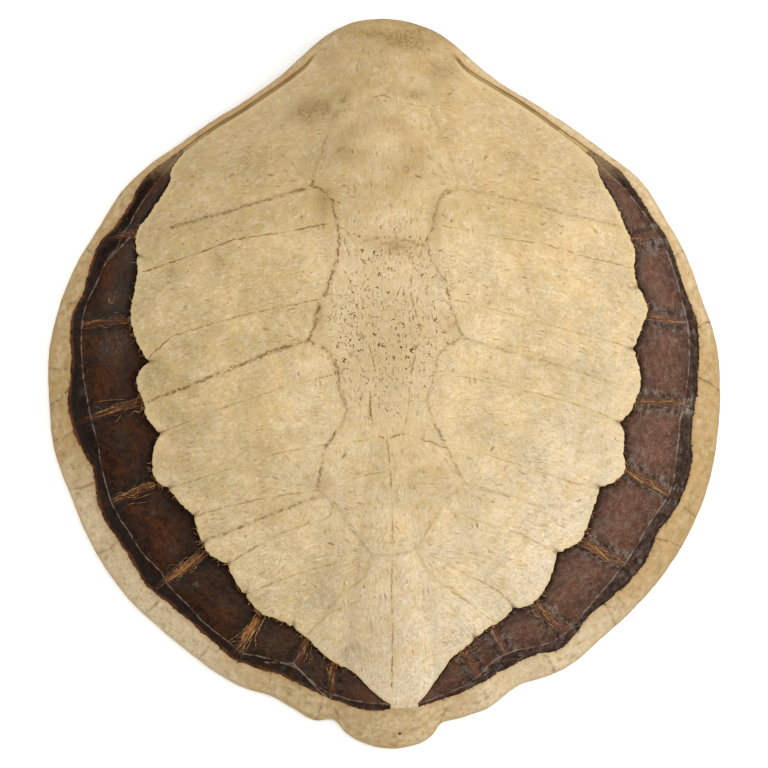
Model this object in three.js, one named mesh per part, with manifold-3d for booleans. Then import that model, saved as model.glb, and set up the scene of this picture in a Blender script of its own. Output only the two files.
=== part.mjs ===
// Bony carapace of a young green turtle, bare of its horny scutes and lying on its rim, dome up.
//
// Millimetres, +Z up. The origin is on the ground under the middle of the shell's length and
// width; +Y points to the neck, -Y to the tail, and the turtle's left side is at -X.
//
// The bones have grown together along their sutures, so the disc, the ribs, the rim and the
// tail plate are one solid. Between disc and rim the bone is still open on both sides. Only the
// rib ends cross those gaps, and over them lies one strip of dried skin on each side.
//
// The plan is laid out round the crown of the dome: a place is a bearing, in degrees
// anticlockwise from +X, and a radius. Heights follow one dome profile, which is read against
// s, the share of the way from the crown to the shell's margin.
import * as THREE from "three";
import { mergeVertices } from "three/addons/utils/BufferGeometryUtils.js";
import Module from "manifold-3d";

const wasm = await Module();
wasm.setup();

// --- Driving dimensions: millimetres, and degrees for bearings ---

const SHELL_HEIGHT = 178; // the crown above the ground
const CROWN_Y = 41.5; // the crown ahead of the shell's middle

// Share of the way to the margin, share of the shell's height.
const DOME_PROFILE = [
  [0, 1], [0.25, 0.97], [0.45, 0.865], [0.6, 0.73], [0.72, 0.585],
  [0.82, 0.42], [0.9, 0.26], [0.96, 0.13], [1, 0.055],
];

// Share of the way to the margin, thickness of the bone measured straight down.
const BONE_THICKNESS = [
  [0, 6], [0.5, 6.5], [0.7, 8], [0.85, 10], [1, 13],
];

const NECK_LIFT = 26; // the margin over the neck stands this far off the ground
const NECK_LIFT_SPAN = 80; // degrees to either side of the neck over which it comes down

// The margin: [bearing, radius].
const OUTLINE = [
  [0, 318], [8, 307], [16, 301], [24, 294], [32, 290], [40, 279], [48, 272], [56, 268.5],
  [64, 268.5], [68, 272], [72, 278.5], [76, 288], [80, 297], [85, 303.5], [90, 306],
  [95, 304.5], [100, 297], [104, 287], [108, 277.5], [112, 270], [120, 264.5], [128, 266.5],
  [136, 271.5], [142, 279.5], [150, 289], [158, 294], [166, 304], [174, 313], [182, 321],
  [190, 325.5], [198, 332], [206, 334], [214, 340], [220, 344], [226, 347], [232, 348],
  [238, 351], [244, 355.5], [248, 357], [252, 355.5], [256, 361], [259.5, 368], [262.5, 365],
  [264.5, 376], [267, 384], [270.5, 389], [275, 386], [277, 379], [278.5, 369], [282, 367],
  [286, 364], [290, 355], [292.5, 353], [296, 356], [300, 357], [306, 352], [312, 350],
  [320, 348], [328, 344.5], [336, 339.5], [344, 332], [352, 325],
];

// The free edge of the disc, with a lobe at each plate: [bearing, radius].
const DISC_EDGE = [
  [2.6, 238], [7, 247], [11, 243], [15, 241], [20, 249], [25, 249.5], [30, 252], [37, 255],
  [40, 262], [45, 261], [52, 258], [60, 258.5], [67, 260.5], [73, 266], [78, 280], [84, 285],
  [90, 287], [96, 285], [103, 278], [106, 268], [112, 259.5], [121, 254.5], [128, 256.5],
  [137, 261], [141, 258], [144, 250], [152, 250], [156, 253.5], [160, 246], [164, 238],
  [169, 235.5], [174, 235.5], [178, 231], [182, 224], [185.2, 218], [187, 226], [190, 231],
  [194, 228], [198, 229], [202.5, 224], [205, 233], [209, 244], [212, 246], [214.5, 241],
  [218.5, 239.5], [222.7, 238.5], [226, 246], [230, 254], [235, 253], [239, 263], [246, 277],
  [249.5, 276], [255, 284], [261, 303], [265, 311], [268, 327], [271, 340], [275.5, 340],
  [279, 320], [282, 302.5], [285.5, 293.5], [289, 285], [292.5, 282], [296, 276.5],
  [299, 280], [303, 274], [306, 264.5], [309.3, 254], [314.5, 258.5], [320, 249],
  [325.7, 241.5], [329, 250], [332, 252], [335, 243], [338.5, 237.5], [341, 231], [344, 236],
  [350.5, 240], [354.5, 235.5], [358, 231],
];

// Where the dried skin ends on the rim, and the groove along the front flanks: [bearing, radius].
const BAND_EDGE = [
  [4.5, 296.5], [8, 291], [12.5, 287.5], [21, 285.5], [25, 280], [32, 277], [36, 276.5],
  [40, 270.5], [46, 264.5], [52, 261.5], [60, 262], [67, 264], [73, 269.5], [78, 283.5],
  [84, 288.5], [90, 290.5], [96, 288.5], [103, 281.5], [106, 271.5], [112, 263], [121, 258],
  [128, 260], [137, 265], [140, 268], [145.5, 275], [152, 273], [156.5, 276.5], [161, 286],
  [171, 288], [175.5, 296.5], [184, 295], [191.5, 304], [198, 303.5], [203, 298],
  [207, 304.5], [210.5, 311], [220, 313.5], [226, 321], [231.5, 319], [241, 326],
  [244.5, 332], [252, 329], [258, 335], [263, 343], [268, 346.5], [271, 344.5],
  [275.5, 344.5], [282, 339], [286, 334], [292.5, 327.5], [296.5, 329], [300, 334.5],
  [303.5, 329], [307.5, 322], [318, 323.5], [325.5, 314], [329.5, 316.5], [337, 314],
  [344, 301], [352, 298],
];

// Each pair of ribs: how far ahead of the crown it leaves the spine, then the bearings at which
// the rib comes out from under the disc and at which it meets the rim, left and right.
const RIBS = [
  { spine: 135, left: [156, 160], right: [22, 21.5] },
  { spine: 70, left: [175.5, 177], right: [5.5, 3] },
  { spine: 1, left: [194, 195], right: [-13, -11.5] },
  { spine: -62, left: [212, 210], right: [-28, -28] },
  { spine: -117, left: [230, 227], right: [-45.5, -41.5] },
  { spine: -171, left: [246, 244], right: [-60, -57.5] },
  { spine: -212, left: [255.5, 254.5], right: [-69.5, -68.5] },
  { spine: -245, left: [261, 262], right: [-75.5, -74] },
];

const RIB_WIDTH = 14;
const RIB_HEIGHT = 8;
const RIB_ROOT = 4; // of its height is sunk in the disc's underside
const RIB_START = 0.35; // of the way from the spine to the disc's edge, where it stands out

const SPINE_DEPTH = 11; // ridge of the vertebrae under the disc
const SPINE_HALF_WIDTH = 13;
const SPINE_HALF_LENGTH = 270;

// The open gaps from end to end, by bearing, and the groove that carries on from each of them.
const GAP_LEFT = [141, 266];
const GAP_RIGHT = [-80, 39.5];
const GROOVE_LEFT = [103, 271.5];
const GROOVE_RIGHT = [-85, 77];

const LIP_RISE = 1.2; // rounded lip along the disc's edge
const LEDGE_DROP = 4.5; // the bone beside the disc's edge lies this far down
const RIM_DROP = 2.5; // and this far down where the skin ends on the rim
const GAP_SHARES = [0.12, 0.78]; // the open gaps' edges, on the way from disc to band edge
const RIM_SWELL = 1.2; // the rim bulges this much along its middle
const EDGE_HEIGHT = 7; // the margin's outermost line above its underside
const FOOT_INSET = 4; // the flat foot under the rim starts this far in from the margin
const FOOT_WIDTH = 10;
const RIM_DEPTH = 14; // the rim's inner face below the dome

const SKIN_THICKNESS = 2;
const SKIN_CLEARANCE = 1.8; // between the dried skin and the bone below it
const SKIN_SAG = 5; // between two ribs

const SECTIONS = 80; // cross-sections round the shell
const SECTION_CROWDING = 16; // degrees by which they close up towards the tail

// --- Curves, and the shape of the dome ---

const radians = THREE.MathUtils.degToRad;

/** Smooth value at x through [x, value] points; with a period the first point follows the last. */
function smoothValue(points, x, period = 0) {
  const count = points.length;
  const at = (i) => {
    if (!period) return points[THREE.MathUtils.clamp(i, 0, count - 1)];
    const [px, value] = points[((i % count) + count) % count];
    return [px + period * Math.floor(i / count), value];
  };
  let wanted = x;
  if (period) wanted = THREE.MathUtils.euclideanModulo(x - points[0][0], period) + points[0][0];
  let i = points.findLastIndex(([px]) => px <= wanted);
  if (!period) i = THREE.MathUtils.clamp(i, 0, count - 2);
  const [before, low, high, after] = [at(i - 1), at(i), at(i + 1), at(i + 2)];
  const span = high[0] - low[0];
  const slopeLow = ((high[1] - before[1]) / (high[0] - before[0])) * span;
  const slopeHigh = ((after[1] - low[1]) / (after[0] - low[0])) * span;
  const t = (wanted - low[0]) / span;
  const rise = high[1] - low[1];
  return low[1] + t * (slopeLow + t * (3 * rise - 2 * slopeLow - slopeHigh
    + t * (slopeLow + slopeHigh - 2 * rise)));
}

const marginRadius = (bearing) => smoothValue(OUTLINE, bearing, 360);
const discRadius = (bearing) => smoothValue(DISC_EDGE, bearing, 360);
const bandRadius = (bearing) => smoothValue(BAND_EDGE, bearing, 360);

/** How far the margin at a bearing is lifted for the neck. */
function neckLift(bearing) {
  const away = Math.abs(THREE.MathUtils.euclideanModulo(bearing + 90, 360) - 180);
  if (away >= NECK_LIFT_SPAN) return 0;
  return NECK_LIFT * Math.cos(((away / NECK_LIFT_SPAN) * Math.PI) / 2) ** 2;
}

/** Height of the smooth dome at a bearing and radius. */
function domeHeight(bearing, radius) {
  const s = Math.min(radius / marginRadius(bearing), 1);
  return SHELL_HEIGHT * smoothValue(DOME_PROFILE, s) + neckLift(bearing) * s ** 3;
}

/** Depth of the bone's underside below the dome, with the ridge of the spine. */
function undersideDepth(bearing, radius) {
  const x = radius * Math.cos(radians(bearing));
  const along = (radius * Math.sin(radians(bearing))) / SPINE_HALF_LENGTH;
  const ridge = SPINE_DEPTH * Math.exp(-((x / SPINE_HALF_WIDTH) ** 2));
  return smoothValue(BONE_THICKNESS, radius / marginRadius(bearing))
    + ridge * Math.max(0, 1 - along ** 4);
}

/** 1 along the gaps and grooves between disc and rim, 0 where the two are grown together. */
function openness(bearing) {
  const fade = 2;
  const inside = ([from, to]) => {
    const past = THREE.MathUtils.euclideanModulo(bearing - from, 360);
    const span = to - from;
    const margin = past <= span ? Math.min(past, span - past) : -1;
    return THREE.MathUtils.clamp(margin / fade, 0, 1);
  };
  return Math.max(inside(GROOVE_LEFT), inside(GROOVE_RIGHT));
}

/** How far the bone between disc and rim lies below the dome, t going from 0 to 1 across. */
const ledgeDepth = (t) => THREE.MathUtils.lerp(LEDGE_DROP, RIM_DROP, t);

// --- Solids ---

/** A closed solid for joining and cutting, from a closed geometry. */
function solidOf(geometry) {
  const bare = geometry.clone();
  bare.deleteAttribute("normal");
  bare.deleteAttribute("uv");
  const merged = mergeVertices(bare, 1e-4);
  return new wasm.Manifold(new wasm.Mesh({
    numProp: 3,
    vertProperties: merged.attributes.position.array,
    triVerts: new Uint32Array(merged.index.array),
  }));
}

/** The geometry of a joined or cut solid. */
function geometryOf(solid) {
  const { vertProperties, triVerts } = solid.getMesh();
  const geometry = new THREE.BufferGeometry();
  geometry.setAttribute("position", new THREE.BufferAttribute(vertProperties, 3));
  geometry.setIndex(new THREE.BufferAttribute(triVerts, 1));
  return geometry;
}

/** The bone's cross-section at a bearing, [radius, height], crown to margin and back below. */
function boneSection(bearing) {
  const margin = marginRadius(bearing);
  const disc = discRadius(bearing);
  const band = bandRadius(bearing);
  const open = openness(bearing);
  const lift = neckLift(bearing);
  const rim = margin - band;
  const across = (t) => THREE.MathUtils.lerp(disc, band, t);
  const onTop = (radius, rise = 0) => [radius, domeHeight(bearing, radius) + rise];
  const below = (radius) => onTop(radius, -undersideDepth(bearing, radius));
  const onLedge = (t) => onTop(across(t), -ledgeDepth(t) * open);
  const discRings = [0, 0.22, 0.45, 0.67, 0.85, 0.955];
  return [
    ...discRings.map((share) => onTop(disc * share)),
    onTop(disc - 1, LIP_RISE * open),
    onTop(across(0.03) + 0.5, -LEDGE_DROP * open),
    onLedge(0.45),
    onLedge(0.85),
    onLedge(1),
    onTop(band + Math.min(3, rim * 0.25)),
    onTop(band + rim * 0.5, RIM_SWELL),
    onTop(band + rim * 0.85, RIM_SWELL * 0.5),
    [margin, lift + EDGE_HEIGHT],
    [margin - Math.min(FOOT_INSET, rim * 0.3), lift],
    [margin - Math.min(FOOT_INSET + FOOT_WIDTH, rim * 0.65), lift],
    onTop(band - 2, -RIM_DEPTH),
    below(across(0.45)),
    ...discRings.toReversed().map((share) => below(disc * share)),
  ];
}

/** Bearings of the cross-sections in one turn from +X, closer together towards the tail. */
function sectionBearings() {
  return Array.from({ length: SECTIONS }, (_, i) => {
    const even = (i * 360) / SECTIONS;
    return even + SECTION_CROWDING * (Math.sin(radians(270 - even)) + 1);
  });
}

/** The whole bone as a turned body whose rings are drawn out to the section at each bearing. */
function turnedBone() {
  const bearings = sectionBearings();
  const rings = boneSection(0).length;
  const halfCircle = Array.from({ length: rings }, (_, j) => {
    const angle = (Math.PI * j) / (rings - 1);
    return new THREE.Vector2(j % (rings - 1) ? Math.sin(angle) : 0, Math.cos(angle));
  });
  const geometry = new THREE.LatheGeometry(halfCircle, SECTIONS);
  const { position } = geometry.attributes;
  [...bearings, bearings[0]].forEach((bearing, i) => {
    const angle = radians(bearing);
    boneSection(bearing).toReversed().forEach(([radius, height], j) => {
      const x = radius * Math.cos(angle);
      const y = CROWN_Y + radius * Math.sin(angle);
      position.setXYZ(i * rings + j, x, y, height);
    });
  });
  return solidOf(geometry);
}

/** An upright prism between two radii that change with the bearing, from one bearing to another. */
function bandPrism([from, to], innerRadius, outerRadius) {
  const turned = sectionBearings().flatMap((bearing) => [bearing - 360, bearing, bearing + 360]);
  const within = turned.filter((bearing) => bearing > from + 1 && bearing < to - 1);
  const bearings = [from, ...within.sort((a, b) => a - b), to];
  const place = (bearing, radius) => {
    const angle = radians(bearing);
    return new THREE.Vector2(radius * Math.cos(angle), CROWN_Y + radius * Math.sin(angle));
  };
  const inner = bearings.map((bearing) => place(bearing, innerRadius(bearing)));
  const outer = bearings.map((bearing) => place(bearing, outerRadius(bearing)));
  const plan = new THREE.Shape([...inner, ...outer.reverse()]);
  const settings = { depth: SHELL_HEIGHT, bevelEnabled: false };
  return solidOf(new THREE.ExtrudeGeometry(plan, settings));
}

/** One rib: a flattened bar from the spine, under the disc and across the gap into the rim. */
function ribBar(spine, [bearingOut, bearingRim]) {
  const place = (bearing, radius) => {
    const angle = radians(bearing);
    return new THREE.Vector2(radius * Math.cos(angle), radius * Math.sin(angle));
  };
  const root = new THREE.Vector2(0, spine);
  const edge = place(bearingOut, discRadius(bearingOut));
  const rim = place(bearingRim, bandRadius(bearingRim) + 2);
  const start = root.clone().lerp(edge, RIB_START);
  const path = new THREE.SplineCurve([start, root.clone().lerp(edge, 0.7), edge, rim]);
  const geometry = new THREE.BoxGeometry(1, 1, 1, 1, 7, 1);
  const { position } = geometry.attributes;
  for (let i = 0; i < position.count; i += 1) {
    const along = position.getY(i) + 0.5;
    const point = path.getPoint(along);
    const heading = path.getTangent(along);
    const top = position.getZ(i) > 0;
    const width = RIB_WIDTH * (0.6 + 0.4 * Math.min(1, along * 1.5)) * (top ? 1 : 0.6);
    point.x += heading.y * position.getX(i) * width;
    point.y -= heading.x * position.getX(i) * width;
    const radius = point.length();
    const bearing = THREE.MathUtils.radToDeg(Math.atan2(point.y, point.x));
    const past = THREE.MathUtils.clamp(
      (radius - discRadius(bearing)) / (bandRadius(bearing) - discRadius(bearing)), 0, 1);
    const depth = past > 0
      ? ledgeDepth(past) + 0.5
      : smoothValue(BONE_THICKNESS, radius / marginRadius(bearing)) - RIB_ROOT;
    const height = domeHeight(bearing, radius) - depth - (top ? 0 : RIB_HEIGHT);
    position.setXYZ(i, point.x, CROWN_Y + point.y, height);
  }
  return solidOf(geometry);
}

/** Lines across the band, along which a skin is laid: bearings at disc and rim, and sag. */
function skinStations(ribs, [from, to]) {
  const beside = 2.5; // degrees from a rib's middle to where the skin leaves it
  const panel = [[0.25, 0.85], [0.5, 1], [0.75, 0.85]];
  const inset = 1; // degrees from the gap's end to the skin's
  const first = { inner: from + inset, outer: from + inset, sag: 0 };
  const last = { inner: to - inset, outer: to - inset, sag: 0 };
  const crossings = ribs.map(([inner, outer]) => ({ inner, outer, sag: 0 }));
  const stops = [first, ...crossings.sort((a, b) => a.inner - b.inner), last];
  const stations = [first];
  for (let i = 1; i < stops.length; i += 1) {
    const [low, high] = [stops[i - 1], stops[i]];
    const span = high.inner - low.inner;
    const between = (share, sag) => ({
      inner: THREE.MathUtils.lerp(low.inner, high.inner, share),
      outer: THREE.MathUtils.lerp(low.outer, high.outer, share),
      sag,
    });
    const start = low === first ? 0 : beside / span;
    const end = high === last ? 1 : 1 - beside / span;
    const slack = Math.min(1, span / 12);
    if (low !== first) stations.push(between(start, 0));
    panel.forEach(([share, sag]) =>
      stations.push(between(THREE.MathUtils.lerp(start, end, share), sag * slack)));
    if (high !== last) stations.push(between(end, 0));
    stations.push(high);
  }
  return stations;
}

/** A strip of dried skin that lies over the rib ends and sags between them, clear of the bone. */
function skinStrip(ribs, reach) {
  const stations = skinStations(ribs, reach);
  const across = 4;
  const geometry = new THREE.BoxGeometry(1, 1, 1, stations.length - 1, across, 1);
  const { position } = geometry.attributes;
  for (let i = 0; i < position.count; i += 1) {
    const station = stations[Math.round((position.getX(i) + 0.5) * (stations.length - 1))];
    const t = 0.5 - position.getY(i);
    const top = position.getZ(i) > 0;
    const bearing = THREE.MathUtils.lerp(station.inner, station.outer, t);
    const angle = radians(bearing);
    const near = [-1.5, 0, 1.5].map((away) => bearing + away);
    const inner = Math.max(...near.map(discRadius)) + 2.8;
    const outer = Math.min(...near.map(bandRadius)) - 2.5;
    const radius = THREE.MathUtils.lerp(inner, outer, t);
    const [gapStart, gapEnd] = GAP_SHARES;
    const slack = THREE.MathUtils.clamp((t - gapStart) / (gapEnd - gapStart), 0, 1);
    const sag = SKIN_SAG * station.sag * Math.sin(Math.PI * slack);
    const depth = ledgeDepth(t) - SKIN_CLEARANCE + sag;
    position.setXYZ(
      i,
      radius * Math.cos(angle),
      CROWN_Y + radius * Math.sin(angle),
      domeHeight(bearing, radius) - depth + (top ? SKIN_THICKNESS : 0),
    );
  }
  return solidOf(geometry);
}

/** The open ground between disc and rim on one side, as a prism. */
function gapPrism([from, to]) {
  const edge = (share) => (bearing) =>
    THREE.MathUtils.lerp(discRadius(bearing), bandRadius(bearing), share);
  return bandPrism([from, to], edge(GAP_SHARES[0]), edge(GAP_SHARES[1]));
}

/** The bone: turned body, gaps cut through it, and the ribs added. */
function carapaceBone() {
  let solid = turnedBone().subtract(gapPrism(GAP_LEFT)).subtract(gapPrism(GAP_RIGHT));
  for (const { spine, left, right } of RIBS) {
    solid = solid.add(ribBar(spine, left));
    solid = solid.add(ribBar(spine, right));
  }
  return solid;
}

// --- Assembly ---

const bone = new THREE.MeshStandardMaterial({ color: 0xd8c79c, roughness: 0.7, metalness: 0 });
const skin = new THREE.MeshStandardMaterial({ color: 0x3b2119, roughness: 0.4, metalness: 0 });

const group = new THREE.Group();
const addPart = (name, solid, material) => {
  const mesh = new THREE.Mesh(geometryOf(solid), material);
  mesh.name = name;
  group.add(mesh);
};

const carapace = carapaceBone();
const leftRibs = RIBS.map((rib) => rib.left);
const rightRibs = RIBS.map((rib) => rib.right);

addPart("carapace_bone", carapace, bone);
addPart("skin_left", skinStrip(leftRibs, GAP_LEFT), skin.clone());
addPart("skin_right", skinStrip(rightRibs, GAP_RIGHT), skin.clone());

export default group;
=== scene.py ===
"""The fine surface of a green turtle's bony carapace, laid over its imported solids.

Metres, +Z up, +Y to the neck, the turtle's left side at -X. The shell is planned in millimetres
round the crown of its dome: a place is a bearing, in degrees anticlockwise from +X, and a radius.
"""

from __future__ import annotations

import logging
import math
import random
from dataclasses import dataclass, field
from enum import Enum
from typing import Any, Sequence

import bmesh
import bpy
import numpy as np
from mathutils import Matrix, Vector, noise


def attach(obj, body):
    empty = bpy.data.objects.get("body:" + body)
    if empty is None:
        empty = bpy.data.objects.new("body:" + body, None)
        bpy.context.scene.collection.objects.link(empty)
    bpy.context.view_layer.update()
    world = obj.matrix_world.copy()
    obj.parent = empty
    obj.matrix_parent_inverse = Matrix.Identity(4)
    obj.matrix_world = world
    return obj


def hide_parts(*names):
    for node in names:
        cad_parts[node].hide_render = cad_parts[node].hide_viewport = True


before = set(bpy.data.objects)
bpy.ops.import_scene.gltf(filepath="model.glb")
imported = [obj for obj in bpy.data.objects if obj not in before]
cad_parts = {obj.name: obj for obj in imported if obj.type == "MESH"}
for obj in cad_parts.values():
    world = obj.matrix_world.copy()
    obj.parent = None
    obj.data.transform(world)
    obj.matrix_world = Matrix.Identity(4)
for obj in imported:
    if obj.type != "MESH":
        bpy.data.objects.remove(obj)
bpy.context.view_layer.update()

LOG = logging.getLogger("carapace")
MM = 0.001
# In millimetres: further than any line lies, the skins' mean radius and width, and the rim's
# mean radius.
FAR = 1000.0
BAND_RADIUS = 300.0
BAND_WIDTH = 40.0
RIM_RADIUS = 330.0

Array = np.ndarray
Pair = tuple[float, float]
Line = tuple[Pair, ...]
Colour = tuple[float, float, float]


# --- Curves and masks on arrays ---


def smooth_step(low: float, high: float, value: Array) -> Array:
    """A soft step.

    Args:
        low: the value that gives 0.
        high: the value that gives 1, above or below low.
        value: numbers to read.

    Returns:
        0 up to low, 1 from high on and a soft change between them.
    """
    t = np.clip((value - low) / (high - low), 0.0, 1.0)
    return t * t * (3.0 - 2.0 * t)


def rough(points: Array, size: float, seed: float = 0.0) -> Array:
    """Soft random hills.

    Args:
        points: rows of two or three coordinates, in the unit of size.
        size: width of one hill.
        seed: shifts the pattern.

    Returns:
        One value from about -1 to 1 for each point.
    """
    deep = points if points.shape[1] == 3 else np.column_stack([points, np.zeros(len(points))])
    shifted = deep / size + seed
    return np.array([noise.noise(Vector(p)) for p in shifted.tolist()])


@dataclass(frozen=True)
class SmoothCurve:
    """A smooth curve through (x, value) points, closed on itself when it has a period."""

    points: Line
    period: float = 0.0

    def at(self, x: Array | float) -> Array:
        """Reads the curve.

        Args:
            x: one place or an array of them.

        Returns:
            The curve's value at each place.
        """
        xs, values = np.array(self.points, float).T
        wanted = np.asarray(x, float)
        last = len(xs) - 2
        core = xs
        if self.period:
            wanted = (wanted - xs[0]) % self.period + xs[0]
            last += 1
            xs = np.concatenate([xs[-1:] - self.period, xs, xs[:2] + self.period])
            values = np.concatenate([values[-1:], values, values[:2]])
        else:
            xs = np.concatenate([xs[:1], xs, xs[-1:]])
            values = np.concatenate([values[:1], values, values[-1:]])
        low = np.clip(np.searchsorted(core, wanted, side="right") - 1, 0, last) + 1
        span = xs[low + 1] - xs[low]
        slope_low = (values[low + 1] - values[low - 1]) / (xs[low + 1] - xs[low - 1]) * span
        slope_high = (values[low + 2] - values[low]) / (xs[low + 2] - xs[low]) * span
        t = (wanted - xs[low]) / span
        rise = values[low + 1] - values[low]
        cubic = slope_low + slope_high - 2.0 * rise
        square = 3.0 * rise - 2.0 * slope_low - slope_high
        return values[low] + t * (slope_low + t * (square + t * cubic))


def ripple(bearing: Array, waves: Sequence[int], seed: float = 0.0) -> Array:
    """Small waves round the shell that meet where the turn closes, from about -1 to 1."""
    turns = np.radians(bearing)
    return sum(np.sin(k * turns + seed + 1.7 * k) for k in waves) / len(waves)


# --- The plan of the shell ---


@dataclass(frozen=True)
class Rib:
    """A pair of ribs: bearings at the disc's edge and the rim, and how frayed each one is."""

    left: Pair
    right: Pair
    frayed: Pair


class Side(Enum):
    """A side of the shell: its name, the gap between disc and rim, and the skin's reach."""

    LEFT = ("left", (141.0, 266.0), (136.5, 271.0))
    RIGHT = ("right", (-80.0, 39.5), (-84.6, 43.0))

    @property
    def label(self) -> str:
        """The side's name."""
        return self.value[0]

    @property
    def gap(self) -> Pair:
        """First and last bearing of the open gap."""
        return self.value[1]

    @property
    def reach(self) -> Pair:
        """First and last bearing of the dried skin."""
        return self.value[2]

    def ribs(self, plan: "ShellPlan") -> list[tuple[float, float]]:
        """The bearing at the disc's edge of each of this side's ribs, and how frayed it is."""
        right = self is Side.RIGHT
        return [(getattr(rib, self.label)[0], rib.frayed[right]) for rib in plan.ribs]


OUTLINE: Line = (
    (0, 318), (8, 307), (16, 301), (24, 294), (32, 290), (40, 279), (48, 272), (56, 268.5),
    (64, 268.5), (68, 272), (72, 278.5), (76, 288), (80, 297), (85, 303.5), (90, 306),
    (95, 304.5), (100, 297), (104, 287), (108, 277.5), (112, 270), (120, 264.5), (128, 266.5),
    (136, 271.5), (142, 279.5), (150, 289), (158, 294), (166, 304), (174, 313), (182, 321),
    (190, 325.5), (198, 332), (206, 334), (214, 340), (220, 344), (226, 347), (232, 348),
    (238, 351), (244, 355.5), (248, 357), (252, 355.5), (256, 361), (259.5, 368),
    (262.5, 365), (264.5, 376), (267, 384), (270.5, 389), (275, 386), (277, 379),
    (278.5, 369), (282, 367), (286, 364), (290, 355), (292.5, 353), (296, 356), (300, 357),
    (306, 352), (312, 350), (320, 348), (328, 344.5), (336, 339.5), (344, 332), (352, 325),
)

DISC_EDGE: Line = (
    (2.6, 238), (7, 247), (11, 243), (15, 241), (20, 249), (25, 249.5), (30, 252), (37, 255),
    (40, 262), (45, 261), (52, 258), (60, 258.5), (67, 260.5), (73, 266), (78, 280),
    (84, 285), (90, 287), (96, 285), (103, 278), (106, 268), (112, 259.5), (121, 254.5),
    (128, 256.5), (137, 261), (141, 258), (144, 250), (152, 250), (156, 253.5), (160, 246),
    (164, 238), (169, 235.5), (174, 235.5), (178, 231), (182, 224), (185.2, 218), (187, 226),
    (190, 231), (194, 228), (198, 229), (202.5, 224), (205, 233), (209, 244), (212, 246),
    (214.5, 241), (218.5, 239.5), (222.7, 238.5), (226, 246), (230, 254), (235, 253),
    (239, 263), (246, 277), (249.5, 276), (255, 284), (261, 303), (265, 311), (268, 327),
    (271, 340), (275.5, 340), (279, 320), (282, 302.5), (285.5, 293.5), (289, 285),
    (292.5, 282), (296, 276.5), (299, 280), (303, 274), (306, 264.5), (309.3, 254),
    (314.5, 258.5), (320, 249), (325.7, 241.5), (329, 250), (332, 252), (335, 243),
    (338.5, 237.5), (341, 231), (344, 236), (350.5, 240), (354.5, 235.5), (358, 231),
)

BAND_EDGE: Line = (
    (4.5, 296.5), (8, 291), (12.5, 287.5), (21, 285.5), (25, 280), (32, 277), (36, 276.5),
    (40, 270.5), (46, 264.5), (52, 261.5), (60, 262), (67, 264), (73, 269.5), (78, 283.5),
    (84, 288.5), (90, 290.5), (96, 288.5), (103, 281.5), (106, 271.5), (112, 263),
    (121, 258), (128, 260), (137, 265), (140, 268), (145.5, 275), (152, 273), (156.5, 276.5),
    (161, 286), (171, 288), (175.5, 296.5), (184, 295), (191.5, 304), (198, 303.5),
    (203, 298), (207, 304.5), (210.5, 311), (220, 313.5), (226, 321), (231.5, 319),
    (241, 326), (244.5, 332), (252, 329), (258, 335), (263, 343), (268, 346.5),
    (271, 344.5), (275.5, 344.5), (282, 339), (286, 334), (292.5, 327.5), (296.5, 329),
    (300, 334.5), (303.5, 329), (307.5, 322), (318, 323.5), (325.5, 314), (329.5, 316.5),
    (337, 314), (344, 301), (352, 298),
)

# Nicks in the disc's edge where a suture runs out: bearing and depth.
NICKS: Line = (
    (185.2, 2.2), (202.5, 2.8), (214.5, 2.0), (222.7, 2.2), (228.3, 2.6), (235.1, 2.6),
    (241.3, 2.4), (252.4, 1.6), (358.1, 2.4), (340.8, 2.8), (325.7, 2.6), (309.3, 2.8),
    (295.9, 2.4), (12.0, 1.8), (160.8, 2.0), (287.0, 1.6),
)

# The pale fold along the dried skin: bearing and radius.
FOLD: Line = (
    (139, 262), (152, 264), (160.4, 267), (163, 271.5), (168, 276), (173.4, 283.5),
    (176, 285), (186, 284), (199, 284.6), (205.5, 291.6), (211.5, 298), (217, 299),
    (221, 301.5), (226, 301), (228.7, 305.7), (233.8, 309.5), (237, 314), (242.4, 318),
    (245.3, 322.5), (248.8, 318.6), (254.6, 317.4), (257.7, 326), (261, 336), (264.8, 339),
    (269.4, 340), (276.6, 341), (284, 331.6), (290.7, 315.7), (300.6, 324.5), (309.3, 313.6),
    (319, 306.7), (326, 302), (332.7, 303.4), (340, 293), (345, 287.6), (352.7, 287.6),
    (362.2, 287.5), (368, 284.4), (378, 280.7), (392, 270), (401, 264),
)

RIBS: tuple[Rib, ...] = (
    Rib((156, 160), (22, 21.5), (0.55, 0.25)),
    Rib((175.5, 177), (5.5, 3), (0.6, 0.25)),
    Rib((194, 195), (-13, -11.5), (0.95, 0.5)),
    Rib((212, 210), (-28, -28), (0.8, 0.8)),
    Rib((230, 227), (-45.5, -41.5), (1.5, 1.1)),
    Rib((246, 244), (-60, -57.5), (1.5, 0.8)),
    Rib((255.5, 254.5), (-69.5, -68.5), (0.3, 0.2)),
    Rib((261, 262), (-75.5, -74), (0.25, 0.35)),
)


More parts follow.
